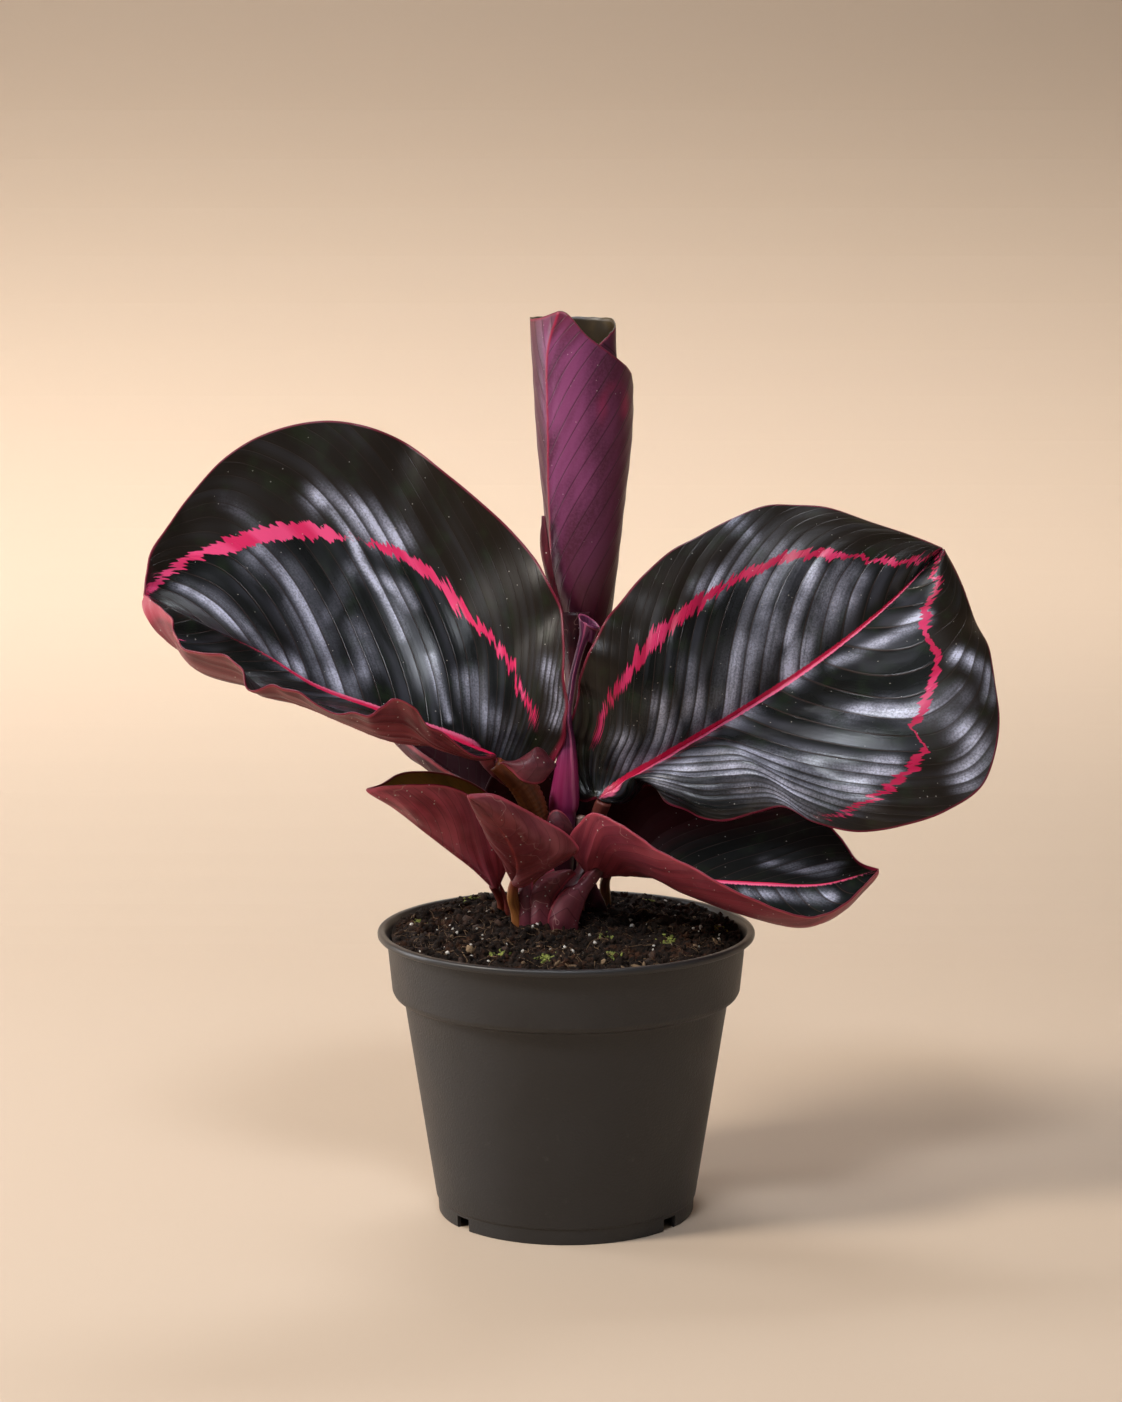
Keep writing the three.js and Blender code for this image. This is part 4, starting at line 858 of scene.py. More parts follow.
def stalkMaterial(name, tones):
    # colours in turn from the foot up, with lengthwise fibres
    material, sketch, shader = newMaterial(name, Specular_IOR_Level=0.35)
    along = sketch.field("along")
    around = sketch.field("around")
    fibres = sketch.noise(sketch.vector(sketch.times(around, 14.0), sketch.times(along, 2.0)),
                          1.0, 3.0)
    base = tones[0]
    for step, tone in enumerate(tones[1:], 1):
        low = (step - 1) / (len(tones) - 1)
        base = sketch.blend(sketch.band(along, low, step / (len(tones) - 1)), base, tone)
    base = sketch.blend(sketch.band(fibres, 0.35, 0.75, 0.0, 0.5), base, shade(tones[0], 0.35))
    specks = useGroup(sketch, "dustSpecks", Scale=300.0, Size=0.06, Share=0.8)["Mask"]
    base = sketch.blend(sketch.times(specks, 0.5), base, leafTones["dust"])
    sketch.feed(shader["Base Color"], base)
    sketch.feed(shader["Roughness"], sketch.band(fibres, 0.2, 0.8, 0.32, 0.5))
    sketch.feed(shader["Normal"], sketch.bump(fibres, 0.0002, 0.4))
    return material


def stalkPiece(name, stalk):
    # radius = table along the stalk + lengthwise grooves sin(7 angle) + crosswise wrinkles sin(190 place)
    # between two places
    grooves = stalkLook["groove"]
    low, high, depth = stalk.get("wrinkles", (0, 1, 0))

    def relief(place, angle):
        ringed = smoothStep(place, low - 0.05, low + 0.03) * smoothStep(place, high + 0.05, high - 0.03)
        folds = np.sin(place * 190 + 0.8 * np.sin(angle * 2)) * depth * ringed
        return grooves * np.sin(angle * 7) + folds + 0.06 * waves(place * 18, angle, len(name))

    rows, sides = stalkLook["rows"], stalkLook["sides"]
    rings, places, angle = sweptRings(stalk["path"], stalk["radii"], rows, sides, relief)
    fields = {"along": places[:, None], "around": np.cos(angle / 2)}
    piece = closedTube(name, rings, [stalkMaterial(name + "Skin", stalk["tones"])], 0, fields)
    nodes = [stalk["node"]] if stalk["node"] else []
    joinPiece(piece, "cut_stalk" if name == "cutStub" else "stalk", *nodes)


for stalkName, stalkValues in stalks.items():
    stalkPiece(stalkName, stalkValues)
print("stage: stalks made,", len(stalks))

spear = {
    "path": [[-1.5, 8, 84], [-1.5, 8, 100], [-1.4, 7, 115], [-1.2, 6.1, 127], [-0.7, 5.4, 132],
             [-0.1, 4, 141],
             [0.2, 4.1, 150], [0.0, 5.8, 156.5], [0.4, 7.4, 161], [1.3, 8.7, 166], [2.2, 9.2, 171.5],
             [3.9, 9.6, 178], [5.7, 10, 183.6], [7.4, 10.2, 188.4]],
    "radii": [[3, 3], [3.2, 3.2], [4, 4], [4.2, 4], [4.5, 4.3], [3.6, 3.5], [2.5, 2.4], [1.5, 1.5],
              [1.25, 1.25],
              [1.05, 1.05], [0.95, 0.95], [1.15, 1.1], [1.7, 1.5], [3.7, 2.6]],
    "rows": 190, "sides": 48, "cupDepth": 6.0, "cupMouth": 0.88,
    "cupTilt": (-0.9, 1.5),         # mm by which the mouth's right side and its back stand higher
    "margin": (0.1, 0.25),         # turns at the foot, and from there to the top
    # tones; the bright pink one is a painted highlight
    "dark": (0.055, 0.008, 0.032), "light": (0.14, 0.024, 0.085), "paintedPinkHighlight": (0.42, 0.018, 0.12),
    "foot": (0.04, 0.006, 0.012), "seam": (0.36, 0.07, 0.16),
}


def spearMaterial():
    # purple satin with a painted pink highlight a little above the dark foot, and a pale line down the right
    material, sketch, shader = newMaterial("spearSkin", Specular_IOR_Level=0.4)
    along = sketch.field("along")
    around = sketch.field("around")
    fibres = sketch.noise(sketch.vector(sketch.times(around, 12.0), sketch.times(along, 5.0)),
                          1.0, 3.0)
    base = sketch.blend(sketch.band(fibres, 0.3, 0.7), spear["dark"], spear["light"])
    # painted highlight: a pink band a little above the foot
    paintedPinkHighlight = sketch.times(sketch.band(along, 0.2, 0.28), sketch.band(along, 0.5, 0.38))
    base = sketch.blend(sketch.times(paintedPinkHighlight, 0.42), base, spear["paintedPinkHighlight"])
    base = sketch.blend(sketch.band(along, 0.22, 0.14), base, spear["foot"])
    base = sketch.blend(sketch.band(sketch.field("seam"), 0.5, 0.9), base, spear["seam"])
    sketch.feed(shader["Base Color"], base)
    sketch.feed(shader["Roughness"], sketch.band(fibres, 0.2, 0.8, 0.3, 0.46))
    sketch.feed(shader["Normal"], sketch.bump(fibres, 0.00022, 0.4))
    return material


def spearTurn(place, angle):
    # share of a turn past the roll's free margin, which itself winds up the spear
    first, winding = spear["margin"]
    return (angle + 2 * np.pi * (first + winding * place)) % (2 * np.pi) / (2 * np.pi)


def spearPiece():
    # radius = table along the spear + a step at the roll's margin. The last ring is tilted and then goes
    # down inside as a cup
    def relief(place, angle):
        # the free margin of the roll stands proud in a soft step
        turn = spearTurn(place, angle)
        step = smoothStep(turn, 0, 0.04) * (1 - turn)
        rise = 0.5 * step * smoothStep(place, 0.2, 0.32) * smoothStep(place, 0.95, 0.7)
        return rise + 0.08 * waves(place * 20, angle, 5)

    rings, places, angle = sweptRings(spear["path"], spear["radii"], spear["rows"], spear["sides"], relief)
    mouth = rings[-1]
    centre = mouth.mean(0)
    right, back = spear["cupTilt"]
    mouth = mouth + np.array([0, 0, 1.0]) * (right * np.cos(angle[0]) + back * np.sin(angle[0]))[:, None]
    rings[-1] = mouth
    inner = [centre + (mouth - centre) * spear["cupMouth"]]
    for share in np.linspace(0, 1, 10)[1:]:
        shrink = spear["cupMouth"] * (1 - 0.65 * share)
        inner.append(centre + (mouth - centre) * shrink - np.array([0, 0, spear["cupDepth"] * share]))
    rings = np.concatenate([rings, np.array(inner)], 0)
    along = np.concatenate([places, np.ones(len(inner))])[:, None]
    turn = spearTurn(along, angle)
    seam = smoothStep(turn, 0.0, 0.03) * (1 - smoothStep(turn, 0.05, 0.09)) * smoothStep(along, 0.2, 0.3)
    seam[len(places) - 1:len(places) + 1] = 1
    fields = {"along": along, "around": np.cos(angle / 2), "seam": seam}
    piece = closedTube("spearLeaf", rings, [spearMaterial()], 0, fields)
    joinPiece(piece, "rolled_blade", "spear_leaf")


spearPiece()


# Sheaths and small lobes among the stalks, each between two edge lines

lobeLook = {"rows": 60, "columns": 24, "thick": 0.45}
darkSheath = {"dark": (0.022, 0.004, 0.007), "light": (0.05, 0.008, 0.014), "cool": (0.034, 0.006, 0.012),
              "vein": (0.012, 0.002, 0.004), "rib": (0.05, 0.006, 0.01)}

# seen from the front, the second line lies to the left of the first as one goes along it
lobes = {
    "leftLeafLobe": {
        "slot": "under_blade", "bulge": 2.2, "rim": "first", "veins": 5,
        "first": [(-19.9, -9, 146.1), (-17, -11, 143.9), (-13.9, -12, 141.2), (-10.2, -11.5, 140),
            (-7.1, -9.5, 140.6), (-4.7, -6, 143.3)],
        "second": [(-19.9, -9, 147.1), (-16.1, -9.5, 147.3), (-12, -9.5, 149.7), (-9.2, -8.5, 151.4),
            (-6.7, -7, 149.9), (-4.8, -5, 146.7)],
        "tones": {"dark": (0.038, 0.005, 0.009), "light": (0.09, 0.012, 0.019)},
    },
    "innerSheath": {
        "slot": "bract", "bulge": 1.4, "rim": "first", "veins": 3,
        "first": [(-8.5, -6, 93.6), (-9.1, -6, 98.7), (-10.1, -5.5, 104.1), (-10.7, -5, 108.9)],
        "second": [(-14.9, -5, 93.4), (-15, -5, 98.5), (-15.4, -4.5, 102.6), (-14.8, -4, 105.8)],
        "tones": {"dark": (0.055, 0.008, 0.014), "light": (0.13, 0.018, 0.028)},
    },
    "outerSheath": {
        "slot": "bract", "bulge": 2.4, "rim": "first", "veins": 4,
        "first": [(-3.4, -8, 91.4), (-4.4, -8, 96.6), (-4.1, -7.5, 100.7), (-2.8, -7, 103.8),
            (-0.9, -6.5, 106.2), (1, -6, 108.4), (3.2, -5, 110.1)],
        "second": [(-12, -6, 92.6), (-11.5, -6.5, 98.2), (-11.3, -6.5, 103), (-10.2, -6, 106.8),
            (-7.8, -5.5, 109.4), (-4.3, -5, 110.9), (-0.2, -4.5, 111.6)],
        "tones": {"dark": (0.075, 0.01, 0.014), "light": (0.17, 0.026, 0.034)},
    },
    "rightSheath": {
        "slot": "bract", "bulge": 3.0, "rim": "second", "veins": 4,
        "first": [(3.2, -9, 90.3), (4.1, -10, 96.3), (5.4, -10, 100.2), (6.4, -9.5, 103), (7.6, -9, 105.4),
            (9.5, -8, 107.8), (10.8, -7, 109.5), (11.8, -6, 110.9), (12.4, -5, 112)],
        "second": [(-6.6, -8, 90.1), (-5.8, -9, 97.1), (-4.4, -9, 101), (-2.5, -9, 103.9),
            (0.1, -8.5, 106.2), (2.6, -8, 106.9), (4.5, -7, 109.2), (7, -6, 111.4), (9.6, -5, 112)],
        "tones": {"dark": (0.05, 0.007, 0.011), "light": (0.12, 0.018, 0.026)},
    },
    "spearCollar": {
        "slot": "bract", "bulge": 1.0, "rim": "second", "veins": 3,
        "first": [(-4.6, -1, 120.9), (-3.7, -2.5, 121.9), (-2.4, -3, 122.6), (-1.1, -3, 122.6),
            (0.1, -2.5, 122.2), (1.4, -1.5, 121.3), (2.7, -0.5, 120.8)],
        "second": [(-5.9, -1, 124.8), (-5.9, -1.5, 127.5), (-4.9, -1.5, 129.4), (-3.3, -1.5, 130.2),
            (-1.4, -1.5, 129.5), (0.5, -1, 127.5), (2, -0.5, 124.7)],
        "tones": {"dark": (0.06, 0.008, 0.012), "light": (0.14, 0.02, 0.028)},
    },
    "rollMargin": {
        "slot": "rolled_blade", "bulge": 0.8, "rim": "none", "veins": 6,
        "first": [(-7, 18, 221.5), (-8.2, 17, 217.1), (-8.2, 17, 210.7), (-6.6, 17, 202.7),
            (-4.1, 17, 193.1), (-0.6, 17, 182.8)],
        "second": [(-6.9, 15, 221.8), (-5.9, 14, 214.9), (-4.7, 14, 207.2), (-3.1, 14.5, 199.2),
            (-0.9, 15, 191.1), (0.6, 16, 182.6)],
        "tones": {"dark": (0.05, 0.005, 0.012), "light": (0.11, 0.012, 0.024)},
    },
    "rollSheath": {
        "slot": "bract", "bulge": 2.0, "rim": "none", "veins": 8,
        "first": [(-2.5, 15.5, 191), (-1.2, 15.5, 180), (-0.4, 14.5, 166.1), (-1.4, 14, 153.2),
            (-3, 14, 140.2), (-4.6, 14, 128.8), (-5.3, 14, 110.8), (-6, 14, 96.1)],
        "second": [(7.5, 15.5, 191), (5.4, 15.5, 180), (3.5, 14.5, 166.1), (3.4, 14, 153.2),
            (4.1, 14, 140.2), (4.4, 14, 128.8), (5, 14, 110.8), (6.2, 14, 96)], "tones": darkSheath,
    },
    "backSheath": {
        "slot": "bract", "bulge": -3.0, "rim": "none", "veins": 8,
        "first": [(14.6, 14, 89.4), (12.7, 13, 96.2), (10.1, 12, 102), (7.5, 12, 107.9), (5.6, 12, 114.5)],
        "second": [(-20.6, 12, 90), (-19.2, 12, 96.5), (-16.6, 12, 102.1), (-13.7, 12, 108),
            (-10.8, 12, 114.5)], "tones": darkSheath,
    },
    "stalkSheath": {
        "slot": "bract", "bulge": -1.5, "rim": "none", "veins": 6,
        "first": [(1, 15, 122), (0, 15, 130.5), (-1.5, 15, 135.6), (-2.5, 15, 140), (-4.5, 15, 142.3)],
        "second": [(-27, 15, 124), (-26.4, 15, 132), (-25, 15, 136), (-23.2, 15, 139), (-20.5, 15, 141.5)],
        "tones": darkSheath,
    },
    "spearSheath": {
        "slot": "bract", "bulge": 1.5, "rim": "none", "veins": 6,
        "first": [(12.8, 12, 119.1), (11.5, 12, 125.8), (9.9, 12, 130.6), (7.7, 12, 134.5)],
        "second": [(-1.7, 12, 119.1), (-1.1, 12, 125.8), (-0.1, 12, 130.6), (1.4, 12, 134.5)],
        "tones": darkSheath,
    },
}


def lobePiece(name, lobe):
    # point = first(s) + (second(s) - first(s)) t, moved along the face's normal by bulge sin(pi t)
    s = np.linspace(0, 1, lobeLook["rows"])
    t = np.linspace(0, 1, lobeLook["columns"])[None, :]
    first = curveThrough(lobe["first"], s)[:, None]
    second = curveThrough(lobe["second"], s)[:, None]
    sheet = first + (second - first) * t[..., None]
    normals = gridNormals(sheet)
    seed = len(name)
    relief = lobe["bulge"] * np.sin(np.pi * t) + 0.25 * waves(s[:, None] * 7, t * 6, seed)
    front = sheet + normals * relief[..., None]
    back = front - gridNormals(front) * lobeLook["thick"]
    rims = [(front[:, edge] + back[:, edge]) / 2 for edge in (-1, 0)]
    span = np.linalg.norm(second - first, axis=-1)
    gaps = {"first": t * span, "second": (1 - t) * span, "none": 9.0}
    fields = {"vein": s[:, None] + 0.3 * np.abs(t - 0.5), "reach": np.abs(2 * t - 1), "ribGap": 9.0,
              "ribWidth": 0.0, "edgeGap": gaps[lobe["rim"]]}
    look = {**maroon, "veins": lobe["veins"], "seed": 90.0 + seed, **lobe["tones"]}
    joinPiece(sheetPiece(name, front, back, rims, [underFace(name + "Skin", look)], fields), lobe["slot"])


for lobeName, lobeValues in lobes.items():
    lobePiece(lobeName, lobeValues)
print("stage: sheaths and lobes made,", len(lobes))


# The tall rolled leaf

roll = {
    "heights": [146, 162, 181, 188, 195, 205, 216, 231, 243, 257, 266, 277, 290],
    "radius": [2.2, 3, 5.8, 7.6, 9.6, 11.4, 12.4, 13.9, 15.2, 16.1, 16.3, 16.4, 16.6],
    "axisX": [3.5, 5, 6.7, 6.8, 5.7, 5.1, 5.4, 5.6, 5.7, 5.5, 5.1, 4.5, 4.2],
    "axisY": [20, 21.5, 23, 23.8, 24.3, 24.9, 25.4, 26, 26.4, 26.7, 27, 27.4, 28],
    "angles": [-70, 0, 200, 330, 440],
    "share": [1, 1, 0.97, 0.42, 0.34],
    "shift": [0, 0, 0, 0.3, 0.3],
    "edgeAngles": [-70, -30, 0, 5, 22, 44, 64, 87, 99, 110, 124, 138, 152, 180, 320, 400, 440],
    "edgeHeights": [236, 250, 261.5, 264.3, 267.8, 271.2, 274.6, 279.7, 284.3, 286.9, 285.4, 284, 283.7,
                    283.9,
                    283.5, 279, 276],
    "foot": 157, "turns": 330, "rows": 110, "thick": 0.5,
    "ribHeights": [157, 194, 207, 227, 246, 258, 271, 280, 287],
    "ribAngles": [166, 158, 150, 145, 138, 136, 133, 124, 110],     # degrees
    "veinRise": 1.9, "veinSpacing": 8.0,
    "stalk": {"path": [[1.5, 16, 84], [2, 17.5, 110], [3, 19.5, 140], [4.5, 21.3, 161]],
              "radii": [[2.2, 2.2], [2.2, 2.2], [2.2, 2.2], [2.7, 2.7]],
              "tones": [(0.1, 0.015, 0.018), (0.09, 0.012, 0.022), (0.08, 0.011, 0.024),
                        (0.08, 0.011, 0.026)]},
}
rollTones = {
    "dark": (0.085, 0.014, 0.048), "light": (0.21, 0.044, 0.14), "grain": (0.24, 0.065, 0.17),
    "right": (0.07, 0.008, 0.02), "left": (0.062, 0.008, 0.026), "foot": (0.046, 0.0045, 0.01),
    "top": (0.13, 0.014, 0.03), "spot": (0.38, 0.018, 0.08), "line": (0.026, 0.003, 0.01),
    "rib": (0.3, 0.01, 0.045), "rim": (0.22, 0.016, 0.04), "dust": (0.55, 0.42, 0.45),
    "innerDark": (0.024, 0.014, 0.005), "innerLight": (0.08, 0.048, 0.012),
}


def smoothTable(xs, ys, x, share=0.04):
    # the piecewise straight table, averaged over that share of its length so that its corners are round
    reach = share * (xs[-1] - xs[0])
    steps = np.linspace(-1, 1, 9) * reach
    return sum(np.interp(x + step, xs, ys) for step in steps) / len(steps)


def rollMaterial():
    # purple satin back of the blade: diagonal veins from a crimson midrib, maroon at the right and the foot
    tones = rollTones
    material, sketch, shader = newMaterial("rollOuter", Specular_IOR_Level=0.32)
    veins = useGroup(sketch, "sideVeins", Vein=sketch.field("vein"), Count=1.0, Reach=sketch.field("reach"),
                     Width=0.06, Seed=81.0)
    angle = sketch.field("angle")
    height = sketch.field("height")
    base = sketch.blend(sketch.band(veins["Patch"], 0.35, 0.65), tones["dark"], tones["light"])
    grain = sketch.grain(1300.0, 3.0, 0.65)
    base = sketch.blend(sketch.band(grain, 0.35, 0.68, 0.0, 0.35), base, tones["grain"])
    for place, low, high, share, key in (
            (angle, 95.0, 25.0, 0.78, "right"), (angle, 134.0, 154.0, 0.88, "left"),
            (height, 238.0, 186.0, 0.92, "foot"), (height, 274.0, 287.0, 0.65, "top")):
        base = sketch.blend(sketch.band(place, low, high, 0.0, share), base, tones[key])
    spots = sketch.grain(110.0, 0.5)
    near = sketch.times(sketch.band(height, 248.0, 256.0), sketch.band(height, 266.0, 259.0))
    near = sketch.times(near, sketch.times(sketch.band(angle, 20.0, 35.0), sketch.band(angle, 80.0, 62.0)))
    base = sketch.blend(sketch.times(near, sketch.band(spots, 0.47, 0.66, 0.0, 0.5)), base, tones["spot"])
    base = sketch.blend(sketch.times(veins["Line"], 0.85), base, tones["line"])
    ribMask = sketch.band(sketch.math("ABSOLUTE", sketch.field("ribGap")), 0.75, 0.2)
    base = sketch.blend(sketch.times(ribMask, 0.85), base, tones["rib"])
    rimMask = sketch.band(sketch.field("edgeGap"), 0.9, 0.3)
    base = sketch.blend(sketch.times(rimMask, 0.7), base, tones["rim"])
    specks = useGroup(sketch, "dustSpecks", Scale=420.0, Size=0.08, Share=0.6)["Mask"]
    base = sketch.blend(sketch.times(specks, 0.5), base, tones["dust"])
    sketch.feed(shader["Base Color"], base)
    sketch.feed(shader["Roughness"], sketch.band(veins["Streak"], 0.2, 0.8, 0.34, 0.5))
    relief = sketch.minus(sketch.times(veins["Streak"], 0.5), veins["Line"])
    sketch.feed(shader["Normal"], sketch.bump(relief, 0.0002, 0.5))
    return material


def innerRollMaterial():
    # crimson that goes darker and lighter by noise
    material, sketch, shader = newMaterial("rollInner", Roughness=0.4)
    drift = sketch.grain(120.0, 3.0)
    base = sketch.blend(sketch.band(drift, 0.35, 0.7), rollTones["innerDark"], rollTones["innerLight"])
    sketch.feed(shader["Base Color"], base)
    sketch.feed(shader["Normal"], sketch.bump(drift, 0.0003, 0.3))
    return material


def rolledLeaf():
    # point = axis(height) + radius(height) (shift + share cos(angle), -share sin(angle)), for heights
    # up to the edge
    angle = np.linspace(roll["angles"][0], roll["angles"][-1], roll["turns"])[:, None]
    level = np.linspace(1, 0, roll["rows"])[None, :]
    edge = smoothTable(roll["edgeAngles"], roll["edgeHeights"], angle, 0.012)
    edge = edge + 0.35 * waves(angle * 0.16, angle * 0, 4)
    height = roll["foot"] + (edge - roll["foot"]) * level
    radius = smoothTable(roll["heights"], roll["radius"], height)
    share = smoothTable(roll["angles"], roll["share"], angle)
    shift = smoothTable(roll["angles"], roll["shift"], angle)
    radians = np.radians(angle)
    swell = 0.35 * waves(height * 0.1, radians * 2.5, 8) * np.minimum(1, radius / 8)
    reach = radius + swell
    points = np.stack([
        smoothTable(roll["heights"], roll["axisX"], height) + reach * (shift + share * np.cos(radians)),
        smoothTable(roll["heights"], roll["axisY"], height) - reach * share * np.sin(radians),
        height,
    ], -1)
    normals = gridNormals(points)
    arc = radius * share * np.radians(smoothTable(roll["ribHeights"], roll["ribAngles"], height) - angle)
    rise = np.where(arc > 0, 1, 1.1) * roll["veinRise"]
    vein = (height - np.abs(arc) * rise + 0.012 * arc**2) / roll["veinSpacing"]
    pleats = np.abs(np.sin(np.pi * vein)) ** 0.8 - 0.6
    relief = -0.14 * pleats * np.minimum(1, radius / 8)
    ribShape = np.exp(-(arc / 1.1) ** 2)
    outer = points + normals * (relief + 0.45 * ribShape)[..., None]
    inner = points + normals * (relief - roll["thick"])[..., None]
    heel = (outer[:, -1] + inner[:, -1]) / 2
    lip = (outer[:, 0] + inner[:, 0]) / 2 + np.array([0, 0, 0.15])
    side = np.minimum(angle - roll["angles"][0], roll["angles"][-1] - angle) * 0.25
    fields = {"vein": vein, "reach": np.abs(arc) / 30, "ribGap": arc,
              "edgeGap": np.minimum(edge - height, side),
              "angle": angle, "height": height}
    materials = [rollMaterial(), innerRollMaterial(), bladeRim]
    piece = sheetPiece("rolledLeaf", outer, inner, [heel, lip], materials, fields)
    joinPiece(piece, "rolled_blade", "rolled_leaf")
    stalkPiece("rolledStalk", {"node": None, **roll["stalk"]})


rolledLeaf()
print("stage: rolled leaf and spear made")


# Pot

pot = {
    "rim": 60.0, "height": 91.7, "foot": 40.9, "wall": 1.2, "lipHeight": 2.2, "lipWidth": 2.4,
    "collar": 57.1, "collarLow": 55.4, "collarBottom": 72.5, "bodyTop": 51.7, "bodyHeight": 69.6,
    "footBand": 5.0, "footStep": 0.5, "floorUnder": 3.5, "floorTop": 5.0, "cornerReach": 0.45,
    "notchWidth": 6.0, "notchHeight": 4.0, "notchAngles": (37.5, 142.5, 217.5, 322.5),
    "drainRadius": 3.0, "drainRing": 27.0, "drainCount": 8,
    "sides": 224,
    "dark": (0.0135, 0.0133, 0.0144), "light": (0.0186, 0.0183, 0.0195), "dust": (0.06, 0.056, 0.053),
    "speck": (0.3, 0.29, 0.28),
}


def softCorners(profile, reach, steps=5):
    # each corner becomes the curve (1-w)^2 a + 2w(1-w) corner + w^2 b between points a and b just beside it
    profile = np.array(profile, float)
    out = [profile[0]]
    w = np.linspace(0, 1, steps)[:, None]
    for before, corner, after in zip(profile[:-2], profile[1:-1], profile[2:]):
        back, ahead = before - corner, after - corner
        a, b = (corner + way * min(reach / np.linalg.norm(way), 0.45) for way in (back, ahead))
        out.extend((1 - w) ** 2 * a + 2 * w * (1 - w) * corner + w**2 * b)
    return np.array([*out, profile[-1]])


def plasticMaterial():
    # charcoal plastic with a fine leathery grain, smoother and shinier on the lip
    material, sketch, shader = newMaterial("pottedPlastic")
    place = sketch.objectPlace()
    height = sketch.times(sketch.add("ShaderNodeSeparateXYZ", {"Vector": place}).outputs["Z"], 1000.0)
    lip = sketch.band(height, 88.9, 89.6)
    cells = sketch.add("ShaderNodeTexVoronoi", {"Vector": place, "Scale": 1500.0},
                       feature="SMOOTH_F1").outputs["Distance"]
    pebbles = sketch.noise(place, 1300.0, 2.0, 0.6)
    drift = sketch.noise(place, 45.0, 3.0)
    base = sketch.blend(sketch.band(drift, 0.3, 0.7), pot["dark"], pot["light"])
    dust = sketch.times(sketch.band(sketch.noise(place, 240.0, 4.0, 0.7), 0.6, 0.8), 0.35)
    base = sketch.blend(dust, base, pot["dust"])
    specks = useGroup(sketch, "dustSpecks", Scale=190.0, Size=0.05, Share=0.9)["Mask"]
    base = sketch.blend(sketch.times(specks, 0.35), base, pot["speck"])
    sketch.feed(shader["Base Color"], base)
    rough = sketch.band(drift, 0.3, 0.7, 0.46, 0.56)
    sketch.feed(shader["Roughness"], sketch.minus(rough, sketch.times(lip, 0.12)))
    grainHeight = sketch.plus(sketch.times(cells, 0.6), pebbles)
    grainHeight = sketch.times(grainHeight, sketch.minus(1.0, sketch.times(lip, 0.8)))
    sketch.feed(shader["Normal"], sketch.bump(grainHeight, 0.00022, 0.55))
    return material


def potCuts(p):
    # sections of the cutters: four foot notches at the outside and a ring of round drain holes in the floor
    cuts = []
    for degrees in p["notchAngles"]:
        turn = math.radians(degrees)
        outward = np.array([math.cos(turn), math.sin(turn), 0])
        beside = np.array([-math.sin(turn), math.cos(turn), 0]) * p["notchWidth"] / 2
        section = [-beside - (0, 0, 2), -beside + (0, 0, p["notchHeight"]),
                   beside + (0, 0, p["notchHeight"]),
                   beside - (0, 0, 2)]
        cuts.append(np.array([np.array(section) + outward * (p["foot"] + depth) for depth in (-6, 6)]))
    for hole in range(p["drainCount"]):
        turn = (hole + 0.5) / p["drainCount"] * 2 * math.pi
        around = -np.linspace(0, 2 * np.pi, 32, endpoint=False)
        circle = np.stack([np.cos(around), np.sin(around), 0 * around], -1) * p["drainRadius"]
        circle += np.array([math.cos(turn), math.sin(turn), 0]) * p["drainRing"]
        cuts.append(np.array([circle + (0, 0, z) for z in (1.0, 8.0)]))
    return cuts


def potPiece():
    # profile (radius, height) from under the floor, up outside, over the lip and down inside, turned round
    # the axis
    p = pot
    wall, rim, foot, top, lipWidth = p["wall"], p["rim"], p["foot"], p["height"], p["lipWidth"]
    collar, collarLow, bodyTop, bodyHeight = p["collar"], p["collarLow"], p["bodyTop"], p["bodyHeight"]
    lipLow = top - p["lipHeight"]
    profile = [
        [0.5, p["floorUnder"]], [foot - wall - 0.1, p["floorUnder"]], [foot - wall, 0], [foot, 0],
        [foot + 0.3, p["footBand"]], [foot + 0.3 + p["footStep"], p["footBand"] + 0.3],
        [bodyTop, bodyHeight], [bodyTop + 0.7, bodyHeight + 0.7], [collarLow - 0.8, bodyHeight + 1.4],
        [collarLow, p["collarBottom"]], [collar, lipLow - 0.2], [rim - 0.4, lipLow], [rim, lipLow + 0.5],
        [rim, top - 0.6], [rim - 0.5, top], [rim - lipWidth + 0.4, top], [rim - lipWidth, top - 0.4],
        [collar - wall, lipLow - 1], [collarLow - wall, p["collarBottom"] + 0.6],
        [bodyTop - wall, bodyHeight + 0.4], [foot - wall + 0.5, p["floorTop"]], [0.5, p["floorTop"]],
    ]
    profile = softCorners(profile, p["cornerReach"])
    angle = -np.linspace(0, 2 * np.pi, p["sides"], endpoint=False)[None, :]
    radius, height = profile[:, :1], profile[:, 1:]
    rings = np.stack([radius * np.cos(angle), radius * np.sin(angle), height + 0 * angle], -1)
    piece = closedTube("pot", rings, [plasticMaterial()])
    cutters = [closedTube(f"cutter{index}", rings, []) for index, rings in enumerate(potCuts(p))]
    for cutter in cutters:
        modifier = piece.modifiers.new("cut", "BOOLEAN")
        modifier.operation = "DIFFERENCE"
        modifier.solver = "EXACT"
        modifier.object = cutter
    graph = bpy.context.evaluated_depsgraph_get()
    cut = bpy.data.meshes.new_from_object(piece.evaluated_get(graph))
    piece.modifiers.clear()
    piece.data = cut
    cut.set_sharp_from_angle(angle=math.radians(50))
    for cutter in cutters:
        bpy.data.objects.remove(cutter)
    joinPiece(piece, "pot_plastic", "pot")


potPiece()
print("stage: pot made")


# Peat and what lies on it

